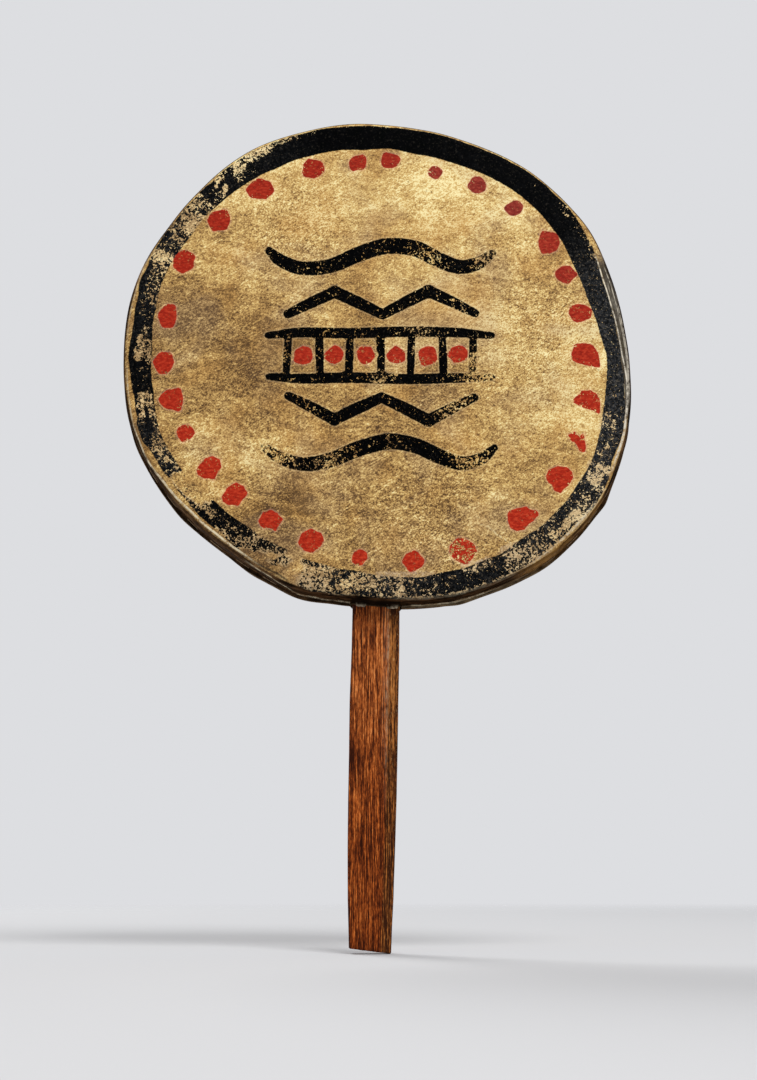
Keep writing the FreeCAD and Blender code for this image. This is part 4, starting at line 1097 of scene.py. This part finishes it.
def front_material():
    mat = new_material("painted_rawhide_front")
    rho = mat.attr("rho")
    ground, height, light, grain = hide_ground(mat, mat.attr("tone"), mat.attr("grit"))
    # small clumps by which the paint is worn, and the unevenness of its edges
    fine = mat.noise(820, detail=2, warp=0.7, shift=(0.21, 0.13, 0.7))
    clump = mat.noise(390, detail=2, warp=1.1, shift=(0.81, 0.33, 0.2))
    speck = (fine * 0.54 + clump * 0.46).fit(0.375, 0.625)
    wobble = mat.noise(520, rough=0.65).swing(2.6)

    shifts = ((0, 0, 0), (4, 1, 3), (2, 5, 1))
    side = wall_streaks(mat, shifts, (0.36, 0.50, 0.20, 0.24, 0.16), -0.155)
    on_wall = rho.fit(1.0, 0.3, soft=True)
    colour = on_wall.mix(ground, front_wall(mat, side, rho))
    colour = rim_dirt_shade_and_sheen(mat, colour, rho, on_wall)
    colour, dab_mask = red_dabs(mat, colour, speck, wobble)
    colour, paint = black_paint(mat, colour, light, speck, fine, wobble)
    # near-black painted shade in the slot where the handle meets the rim
    colour = (mat.attr("painted_slot_shade") * 0.85).mix(colour, (15, 10, 7))
    flap = mat.attr("flap") * mat.noise(420, rough=0.7).fit(0.36, 0.56) * 0.85
    colour = flap.mix(colour, (178, 162, 138))
    colour, ridge = rim_lines(mat, colour)
    colour = mat.attr("scratch").fit(-0.25, 0.2, 0.0, 0.7).mix(colour, (232, 212, 160))
    # the lip is paler along its cut edge
    lip = mat.attr("lip") * mat.noise(260, detail=4, rough=0.7).fit(0.34, 0.62)
    lip = lip * mat.attr("soot_and_shade").fit(0, 1, 0.30, 0.18)
    colour = lip.mix(colour, (158, 132, 100))

    rough = paint.blend(grain.fit(0.3, 0.7, 0.52, 0.68), 0.55)
    rough = dab_mask.blend(rough, 0.58)
    relief = height + paint * 0.55 + dab_mask * 0.45 + on_wall * side * 3.0 + ridge * 0.4
    specular = paint.blend(dab_mask.blend(0.12, 0.05), 0.012)
    specular = on_wall.blend(specular, mat.attr("soot_and_shade").fit(0.0, 1.0, 0.008, 0.0))
    return mat.finish(colour, rough, relief, depth=0.00016, strength=0.8, specular=specular)


def back_material():
    mat = new_material("plain_rawhide_back")
    rho = mat.attr("rho")
    ground, height, light, grain = hide_ground(mat, mat.attr("tone"))
    shifts = ((3, 1, 2), (8, 2, 5), (7, 5, 1))
    side = wall_streaks(mat, shifts, (0.34, 0.36, 0.20, 0.26, 0.16), -0.09)
    # dark browns of the side: the hide's colour, darkened in part as painted shade, as on the front
    wall = side.ramp(
        (0.34, 20, 13, 8), (0.46, 50, 32, 18), (0.56, 86, 58, 33),
        (0.68, 130, 95, 56), (0.82, 176, 138, 90),
    )
    on_wall = rho.fit(1.2, -1.8, soft=True)
    stain = mat.noise(17, detail=5, rough=0.62, warp=0.8, shift=(0.9, 0.2, 0.5))
    colour = stain.fit(0.52, 0.66, 0.0, 0.5).mix(ground, (150, 112, 66), "MULTIPLY")
    # painted shade of the hoop, a darker ring just inside the rim
    hoop_shadow_ring = mat.attr("hoop_shadow_ring").math("MULTIPLY", 0.9, clamp=True)
    colour = hoop_shadow_ring.mix(colour, (120, 88, 54))
    veins = abs(mat.noise(11, warp=1.3, shift=(0.35, 0.6, 0.15)) - 0.5).fit(0.020, 0.004)
    veins_where = mat.noise(23, detail=2, rough=0.5, shift=(0.9, 0.4, 0.7)).fit(0.42, 0.56)
    colour = (veins * veins_where * 0.42).mix(colour, (232, 208, 160))
    # handled rim, and long fine scratches
    handled = mat.noise(48, detail=4, warp=0.5, shift=(0.15, 0.25, 0.65)).fit(0.40, 0.60)
    handled = rho.fit(20, 2, 0.0, 0.55, soft=True) * handled
    colour = handled.mix(colour, light.fit(0.2, 0.8).mix((84, 58, 32), (164, 124, 76)))
    scored = mat.noise(
        (8, 300, 620), detail=1, rough=0.5, warp=0.25, lean=-52, shift=(2.1, 0.7, 5.3)
    )
    scored_where = mat.noise(15, detail=2, rough=0.5, shift=(0.33, 0.81, 0.27)).fit(0.46, 0.58)
    colour = (scored.fit(0.70, 0.76) * scored_where * 0.40).mix(colour, (226, 200, 150))
    colour = on_wall.mix(colour, wall)
    # darker brown over the bend: grime, and painted shade where the hide turns away from the light
    dirt_and_shade = rho.fit(4.5, -0.6, 0.0, 0.6, soft=True) * mat.noise(160).fit(0.38, 0.62)
    colour = dirt_and_shade.mix(colour, (96, 68, 42))
    ridge = mat.attr("ridge") * mat.noise(140, detail=4, rough=0.7).fit(0.36, 0.60)
    colour = ridge.mix(colour, (222, 200, 162))
    lip = mat.attr("lip") * mat.noise(260, detail=4, rough=0.7).fit(0.34, 0.62)
    colour = (lip * 0.5).mix(colour, (150, 126, 96))
    rough = grain.fit(0.3, 0.7, 0.54, 0.70)
    relief = height + on_wall * side * 3.0
    specular = on_wall.blend(0.16, 0.012)
    return mat.finish(colour, rough, relief, depth=0.00018, strength=0.8, specular=specular)


# ---------------------------------------------------------------- the handle

# sides of the grip: (z, left x, right x)
GRIP = np.array([
    (-326.8, -16.3, 5.95), (-315.0, -16.55, 6.45), (-299.4, -17.05, 7.3), (-273.4, -17.15, 8.15),
    (-246.9, -17.05, 9.05), (-220.2, -16.65, 9.65), (-193.1, -16.45, 10.15),
    (-165.6, -15.45, 10.75), (-144.6, -15.0, 10.9), (-138.0, -14.95, 10.9),
])
GRIP_HALF_DEPTH = 6.5
GRIP_BEVEL = (6.4, 3.0)  # in x and y, at the front right
SHOULDER_Z = -138.15
FOOT_Z = -325.0
FOOT_X, FOOT_ENDS = (-16.3, 5.95), (-324.2, -326.8)  # the askew cut: x, and z there
# the thinner spine that runs up inside the drum
SPINE_HALF_WIDTH, SPINE_HALF_DEPTH, SPINE_BEVEL = 9.0, 4.5, (0.9, 0.9)
SPINE_TOP_X, SPINE_TOP_Z = 2.73, 132.6  # where its leaning middle line ends
CAP_X, CAP_Z = 2.71, 131.4
SECTION_STEPS = (22, 8, 12, 26, 14)  # along each side of a section
# stains, a rubbed spot and a dark knot on the front: (x, z, width, height, amount)
HANDLE_MARKS = [
    (-13.0, -226, 3.6, 17, -0.17), (-7.4, -232, 2.0, 7, 0.22), (-8.0, -164, 0.9, 2.6, -0.55),
    (-9.5, -173, 0.8, 5, -0.25), (4.5, -290, 4.0, 22, -0.10), (-11, -262, 2.6, 14, 0.08),
    (-6, -200, 3.0, 12, 0.08), (0.5, -250, 2.2, 30, -0.08), (-1.0, -312, 4.5, 9, -0.14),
    (-13.2, -246, 1.3, 2.4, 0.30),
]


def grip_sides(z):
    return np.interp(z, GRIP[:, 0], GRIP[:, 1]), np.interp(z, GRIP[:, 0], GRIP[:, 2])


def lath_section(left, right, half_depth, bevel, rounding):
    """A lath's section, bevelled at the front right, and 1 on its rounded arrises."""
    front, back = MID_Y - half_depth, MID_Y + half_depth
    corners = np.array([
        (left, front), (right - bevel[0], front), (right, front + bevel[1]),
        (right, back), (left, back),
    ])
    radii = rounding * np.array([1, 1.1, 1.1, 1, 1])
    sides = np.roll(corners, -1, 0) - corners
    length = np.linalg.norm(sides, axis=1)
    leaving = unit(sides)
    coming = np.roll(leaving, 1, 0)
    turn = np.arccos(np.clip((coming * leaving).sum(1), -1, 1))
    cut = np.minimum(radii * np.tan(turn / 2), 0.4 * np.minimum(length, np.roll(length, 1)))
    begins, ends = corners - coming * cut[:, None], corners + leaving * cut[:, None]
    points, arris = [], []
    for i, steps in enumerate(SECTION_STEPS):
        for s in np.arange(5) / 4:
            points.append((1 - s) ** 2 * begins[i] + 2 * s * (1 - s) * corners[i] + s**2 * ends[i])
        for s in np.arange(1, steps) / steps:
            points.append(ends[i] * (1 - s) + begins[(i + 1) % 5] * s)
        arris += [1.0] * 5 + [0.0] * (steps - 1)
    return np.array(points), np.array(arris)


def spine_section(mid_x):
    sides = mid_x - SPINE_HALF_WIDTH, mid_x + SPINE_HALF_WIDTH
    return lath_section(*sides, SPINE_HALF_DEPTH, SPINE_BEVEL, 0.5)[0]


def grip_rings():
    """Rings from the shoulder down to the foot."""
    stations = list(np.arange(SHOULDER_Z, -316.0, -1.4))
    last = stations[-1]
    stations += list(np.linspace(last, FOOT_Z, 10)[1:])
    rings = []
    for z in stations:
        left, right = (float(side) for side in grip_sides(z))
        rounding = 0.9 + 0.35 * float(lattice_noise(z, 3.0, 16, 301))
        points, arris = lath_section(left, right, GRIP_HALF_DEPTH, GRIP_BEVEL, rounding)
        x, y = points.T
        outward = unit(points - np.array([(left + right) / 2, MID_Y]))
        # soft grooves along the grain and small dents on the arrises
        groove = 0.10 * lattice_noise(x + y * 1.7, z / 26.0, 1.7, 311)
        groove = groove + 0.05 * lattice_noise(x + y * 1.3, z / 60.0, 0.9, 313)
        dents = 0.30 * np.clip(lattice_noise(x * 0.4 + 7 * np.sign(x), z, 5.5, 317), 0, 1) * arris
        points = points + outward * (groove * (1 - 0.5 * arris) - dents)[:, None]
        # the end is cut a little askew
        share = max(0.0, min(1.0, (last - z) / (last - FOOT_Z)))
        askew = np.interp(points[:, 0], FOOT_X, FOOT_ENDS) - FOOT_Z
        rings.append(np.column_stack([points, z + share * askew]))
    # rounded foot
    base = rings[-1]
    middle = base[:, :2].mean(0)
    for inset, drop in ((0.35, 0.30), (0.9, 0.45)):
        flat = base[:, :2] - unit(base[:, :2] - middle) * inset
        rings.append(np.column_stack([flat, base[:, 2] - drop]))
    rim = rings[-1][:, :2]
    for shrink in (0.66, 0.33, 0.08):
        flat = middle + (rim - middle) * shrink
        z = np.interp(flat[:, 0], FOOT_X, FOOT_ENDS) - 0.45
        wave = 0.12 * lattice_noise(flat[:, 0], flat[:, 1], 1.8, 331)
        rings.append(np.column_stack([flat, z + wave]))
    return rings


def spine_rings(top):
    """Rings from the grip's top ring inwards over the shoulder and up the spine."""
    shoulder = spine_section(HANDLE_X)
    rings = []
    for share, z in ((0.03, -138.05), (0.5, -138.02), (1.0, -138.02)):
        flat = top[:, :2] * (1 - share) + shoulder * share
        rings.append(np.column_stack([flat, np.full(len(flat), z)]))
    for z in np.concatenate([[-137.4], np.arange(-132.0, 131.0, 3.0), [CAP_Z]]):
        share = (z - SHOULDER_Z) / (SPINE_TOP_Z - SHOULDER_Z)
        mid_x = HANDLE_X + (SPINE_TOP_X - HANDLE_X) * share
        flat = spine_section(mid_x)
        groove = 0.05 * lattice_noise(flat[:, 0] + flat[:, 1] * 1.7, z / 26.0, 1.7, 341)
        flat = flat - unit(flat - np.array([mid_x, MID_Y])) * (0.05 + groove)[:, None]
        rings.append(np.column_stack([flat, np.full(len(flat), z)]))
    middle = np.array([CAP_X, MID_Y])
    cap = rings[-1][:, :2]
    for shrink, lift in ((0.96, 0.25), (0.6, 0.28), (0.1, 0.3)):
        flat = middle + (cap - middle) * shrink
        rings.append(np.column_stack([flat, CAP_Z + lift - 0.072 * (flat[:, 0] - CAP_X)]))
    return rings


def handle_fields(x, y, z):
    """Where the wood is worn or marked, and where shade and highlights are painted on it."""
    left, right = grip_sides(z)
    front = y < MID_Y - 4
    # pale lines by the bevel's arris: worn wood with a painted highlight
    ridge = np.exp(-(((x - (right - 6.2)) / 0.62) ** 2)) * front
    second = np.exp(-(((x - (right - 8.1)) / 0.5) ** 2)) * front
    mark = np.zeros(len(x))
    for mark_x, mark_z, width, height, amount in HANDLE_MARKS:
        away = ((x - mark_x) / width) ** 2 + ((z - mark_z) / height) ** 2
        mark += amount * np.exp(-away) * (y < MID_Y - 3)
    left_edge, right_edge = np.exp(-(((x - left) / 1.7) ** 2)), np.exp(-(((x - right) / 1.3) ** 2))
    return {
        "ridge": ridge * smooth(z, -262, -190) * (1 - 0.6 * smooth(z, -152, -143)),
        "second": second * smooth(z, -240, -180),
        "rim": np.maximum(left_edge, right_edge),
        # painted shade at the top of the grip, below the drum
        "under": smooth(z, -153, -139),
        "foot": 1 - smooth(z, -325.5, -312),
        "facet": smooth(x - (right - GRIP_BEVEL[0]), 0.3, 1.2) * (y < MID_Y + 3),
        "low": 1 - smooth(z, -262, -176),
        "mark": mark,
    }


def build_handle():
    grip = grip_rings()
    rings = spine_rings(grip[0])[::-1] + grip
    verts = np.vstack(rings + [rings[0].mean(0), rings[-1].mean(0)])
    faces = [f[:1] + f[:0:-1] for f in closed_tube(len(rings), len(rings[0]))]
    ob = make_mesh("wooden_handle", verts * MM, faces, handle_fields(*verts.T))
    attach(ob, "root")
    return ob


# ---------------------------------------------------------------- wood, iron and sinew


def wood_grain(mat, amount):
    """Lightness of the wood, and its two fine grains."""
    warp = mat.noise((60, 60, 9), detail=2, rough=0.5)
    fine = mat.noise((1750, 1300, 46), detail=2, rough=0.7, warp=0.2)
    dash = mat.noise((1900, 1300, 300), detail=2, rough=0.7, warp=0.3, shift=(3, 1, 7))
    wider = mat.noise((620, 620, 16), warp=0.2, turn=(0, 0.8, 0), shift=(4, 2, 1))
    coarse = mat.noise((190, 190, 7), warp=0.2, turn=(0, 0.6, 0), shift=(1, 2, 3))
    blotch = mat.noise(34, detail=4, warp=0.4)
    light = fine.swing(2.5 * amount) + dash.swing(1.45 * amount) + wider.swing(0.30 * amount)
    light = light + coarse.swing(0.22 * amount) + blotch.swing(0.16) + warp.swing(0.22) + 0.455
    return light, fine, wider


def wood_colour(mat, light, dark, middle, pale):
    colour = light.ramp((0.08, *dark), (0.42, *middle), (0.74, *pale), (1.0, 232, 150, 84))
    pores = mat.noise((1700, 1700, 95), detail=2, rough=0.5, shift=(9, 3, 5)).fit(0.63, 0.70)
    return (pores * 0.45).mix(colour, (44, 18, 9)), pores


def finish_wood(mat, colour, fine, wider, pores, specular):
    relief = fine * 1.0 + wider * 0.8 + pores * -0.9
    rough = fine.fit(0.3, 0.7, 0.44, 0.60)
    return mat.finish(colour, rough, relief, depth=0.00022, strength=0.8, specular=specular)


def plain_wood(name, dark, middle, pale, amount):
    mat = new_material(name)
    light, fine, wider = wood_grain(mat, amount)
    colour, pores = wood_colour(mat, light, dark, middle, pale)
    return finish_wood(mat, colour, fine, wider, pores, specular=0.14)


def handle_material():
    mat = new_material("stained_handle_wood")
    light, fine, wider = wood_grain(mat, 1.0)
    light = light + mat.attr("mark")
    for key, share in (
        # "under" is painted shade below the drum
        ("rim", -0.13), ("under", -0.16), ("foot", -0.10), ("facet", -0.07), ("low", -0.08),
    ):
        light = light + mat.attr(key) * share
    colour, pores = wood_colour(mat, light, (50, 18, 5), (120, 56, 20), (190, 104, 46))
    colour = (mat.attr("low") * 0.5).mix(colour, (255, 226, 168), "MULTIPLY")
    facet = light.fit(0.2, 0.7).mix((52, 30, 10), (160, 116, 56))
    colour = (mat.attr("facet") * 0.45).mix(colour, facet)
    broken = mat.noise((900, 900, 170), detail=4, rough=0.7, shift=(2, 2, 2)).fit(0.42, 0.60)
    # pale lines along the arris: worn wood with a painted highlight
    rub_and_highlight = mat.attr("ridge") + mat.attr("second") * 0.45
    colour = (rub_and_highlight * broken.fit(0, 1, 0.05, 0.85)).mix(colour, (184, 146, 112))
    flecks = mat.noise((1500, 1500, 420), detail=2, rough=0.7, shift=(5, 2, 8)).fit(0.63, 0.72)
    flecks = mat.attr("facet") * flecks * mat.attr("low").fit(0, 1, 1.0, 0.3)
    colour = (flecks * 0.6).mix(colour, (206, 172, 118))
    return finish_wood(mat, colour, fine, wider, pores, specular=0.06)


def iron_material():
    mat = new_material("old_iron")
    fine = mat.noise(420, detail=5, rough=0.65)
    patches = mat.noise(150)
    colour = (fine * 0.6 + patches * 0.4).ramp(
        (0.36, 38, 34, 32), (0.52, 86, 76, 68), (0.66, 118, 72, 42)
    )
    rough = fine.fit(0.35, 0.65, 0.35, 0.75)
    metal = patches.fit(0.45, 0.6, 0.85, 0.25)
    return mat.finish(colour, rough, fine, depth=0.00012, strength=0.6, metal=metal)


def sinew_material():
    mat = new_material("twisted_sinew")
    fine = mat.noise(900)
    colour = (fine * 0.5 + mat.noise(120) * 0.5).ramp(
        (0.34, 70, 52, 32), (0.5, 120, 94, 62), (0.68, 172, 144, 104)
    )
    return mat.finish(colour, 0.6, fine, depth=0.0001, strength=0.6)


# ---------------------------------------------------------------- the sewing

SEAM_START, SEAM_END = 279.2, 620.6  # angles, leaving the handle free
STITCH = 9.0  # about this long
THREAD_RADIUS = 0.30
THREAD_SIDES = 8
# a stitch: (share of its length, share of its reach from the seam plane, whether it sags)
STITCH_PROFILE = [
    (0.0, 0.0, False), (0.015, 0.6, False), (0.05, 0.94, False), (0.14, 1.03, False),
    (0.32, 1.0, True), (0.5, 1.0, True), (0.68, 1.0, True),
    (0.86, 1.03, False), (0.95, 0.94, False), (0.985, 0.6, False),
]


def build_thread():
    """A running stitch, by turns in front of and behind the two lips."""
    dense = np.arange(SEAM_START, SEAM_END, 0.02)
    radius = wall_radius(dense) + 1.0
    x, z = radius * np.cos(np.radians(dense)), radius * np.sin(np.radians(dense))
    arc = np.concatenate([[0], np.cumsum(np.hypot(np.diff(x), np.diff(z)))])
    count = int(arc[-1] // STITCH)
    pitch = arc[-1] / count
    reach = THICK + 0.34
    rng = np.random.RandomState(12)
    path = []
    for i in range(count):
        side = -1 if i % 2 == 0 else 1
        sag = rng.uniform(0.85, 1.1)
        for share, height, sags in STITCH_PROFILE:
            angle = float(np.interp((i + share) * pitch, arc, dense))
            path.append((angle, MID_Y + side * height * (sag if sags else 1.0) * reach))
    path.append((float(dense[-1]), MID_Y))
    angle, y = np.array(path).T
    cos, sin = np.cos(np.radians(angle)), np.sin(np.radians(angle))
    radius = wall_radius(angle) + 1.0
    centres = np.column_stack([radius * cos, y, radius * sin])
    along = unit(np.gradient(centres, axis=0))
    across = unit(np.cross(along, np.column_stack([cos, np.zeros(len(cos)), sin])))
    normal = np.cross(across, along)
    strands = []
    for k in range(THREAD_SIDES):
        turn = 2 * math.pi * k / THREAD_SIDES
        strands.append(
            centres + THREAD_RADIUS * (math.cos(turn) * normal + math.sin(turn) * across)
        )
    verts = np.stack(strands, 1).reshape(-1, 3)
    faces = tube_quads(len(centres), THREAD_SIDES)
    faces.append(tuple(range(THREAD_SIDES))[::-1])
    faces.append(tuple(range(len(verts) - THREAD_SIDES, len(verts))))
    ob = make_mesh("seam_stitches", verts * MM, faces)
    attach(ob, "root")
    return ob


# ---------------------------------------------------------------- put together

# object, the CAD node it replaces, its slot, and its material's function
PIECES = [
    (build_head("front_hide", True), "front_head", "painted_rawhide", front_material),
    (build_head("back_hide", False), "back_head", "plain_rawhide", back_material),
    (build_handle(), "handle", "handle_wood", handle_material),
    (build_thread(), "seam_thread", "sinew", sinew_material),
]
for piece, node, _, _ in PIECES:
    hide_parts(node)
for piece, _, _, material in PIECES:
    piece.data.materials.append(material())

hoop_wood = plain_wood("bent_hoop_wood", (96, 66, 38), (164, 124, 80), (206, 170, 120), 0.7)
peg_wood = plain_wood("peg_wood", (86, 52, 28), (146, 98, 58), (196, 150, 98), 0.8)
iron = iron_material()
for node, material in (
    ("hoop", hoop_wood), ("handle_peg", peg_wood), ("spine_nails", iron), ("hoop_tacks", iron),
):
    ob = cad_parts[node]
    if not ob.material_slots:
        ob.data.materials.append(material)
    for slot in ob.material_slots:
        slot.material = material


# ---------------------------------------------------------------- stage, light and camera
# Lengths here are in metres.

FLOOR_Z = -0.3275
FLOOR_SEGMENTS = 72
FLOOR_FADE = (0.9, 2.2)  # radii between which the floor fades out


def build_stage():
    """A round floor that fades out and is clear from below."""
    near, far = FLOOR_FADE
    radii = np.concatenate([np.linspace(0, near, 6)[1:], np.linspace(near, far, 9)[1:], [2.6]])
    verts, fades = [(0.0, 0.0, 0.0)], [0.0]
    for radius in radii:
        for a in np.linspace(0, 2 * math.pi, FLOOR_SEGMENTS, endpoint=False):
            verts.append((radius * math.cos(a), radius * math.sin(a), 0.0))
            fades.append(float(smooth(radius, near, far)))
    after = [(j + 1) % FLOOR_SEGMENTS for j in range(FLOOR_SEGMENTS)]
    faces = [(0, 1 + j, 1 + after[j]) for j in range(FLOOR_SEGMENTS)]
    for i in range(len(radii) - 1):
        inner = 1 + i * FLOOR_SEGMENTS
        outer = inner + FLOOR_SEGMENTS
        for j in range(FLOOR_SEGMENTS):
            faces.append((inner + j, outer + j, outer + after[j], inner + after[j]))
    ob = make_mesh("stage_floor", np.array(verts), faces, {"fade": np.array(fades)})
    ob.location = (0, 0, FLOOR_Z)
    mat = new_material("pale_floor")
    floor = mat.principled(linear(200, 200, 201), rough=0.9, specular=0.05)
    below = mat.node("NewGeometry", output="Backfacing")
    hidden = below.math("MAXIMUM", mat.attr("fade"))
    clear = mat.node("BsdfTransparent")
    mat.surface(mat.node("MixShader", {0: hidden, 1: floor, 2: clear}))
    ob.data.materials.append(mat.owner)


def build_world():
    """A pale room: one grey lights the drum, another is seen behind it."""
    world = bpy.data.worlds.new("pale_room")
    bpy.context.scene.world = world
    room = Graph(world, "World")
    lit = room.node("Background", {"Color": linear(232, 233, 236), "Strength": 0.62})
    seen = room.node("Background", {"Color": linear(221, 222, 225), "Strength": 1.0})
    by_camera = room.node("LightPath", output="Is Camera Ray")
    room.surface(room.node("MixShader", {0: by_camera, 1: lit, 2: seen}))


def soft_light(name, place, size, power):
    """A round area light aimed just below the drum's middle."""
    light = bpy.data.lights.new(name, "AREA")
    light.shape = "DISK"
    light.size = size
    light.energy = power
    ob = bpy.data.objects.new(name, light)
    bpy.context.scene.collection.objects.link(ob)
    ob.location = place
    aim = Vector((0, 0, -0.05)) - Vector(place)
    ob.rotation_euler = aim.to_track_quat("-Z", "Y").to_euler()
    ob.visible_camera = False


def build_camera():
    """A camera low in front, tilted up."""
    lens = bpy.data.cameras.new("camera")
    lens.lens = 54.13
    lens.clip_start = 0.01
    lens.clip_end = 50
    camera = bpy.data.objects.new("camera", lens)
    bpy.context.scene.collection.objects.link(camera)
    camera.location = (-0.00067, -0.9081, -0.2900)
    camera.rotation_euler = (math.radians(90 + 11.885), 0, 0)
    bpy.context.scene.camera = camera


build_stage()
build_world()
soft_light("key_light", place=(0.7, -1.8, 2.0), size=1.2, power=52)
soft_light("back_light", place=(-1.2, 1.8, 1.8), size=1.3, power=42)
build_camera()
bpy.context.scene.view_settings.view_transform = "Standard"
bpy.context.scene.view_settings.look = "None"

bpy.context.view_layer.update()
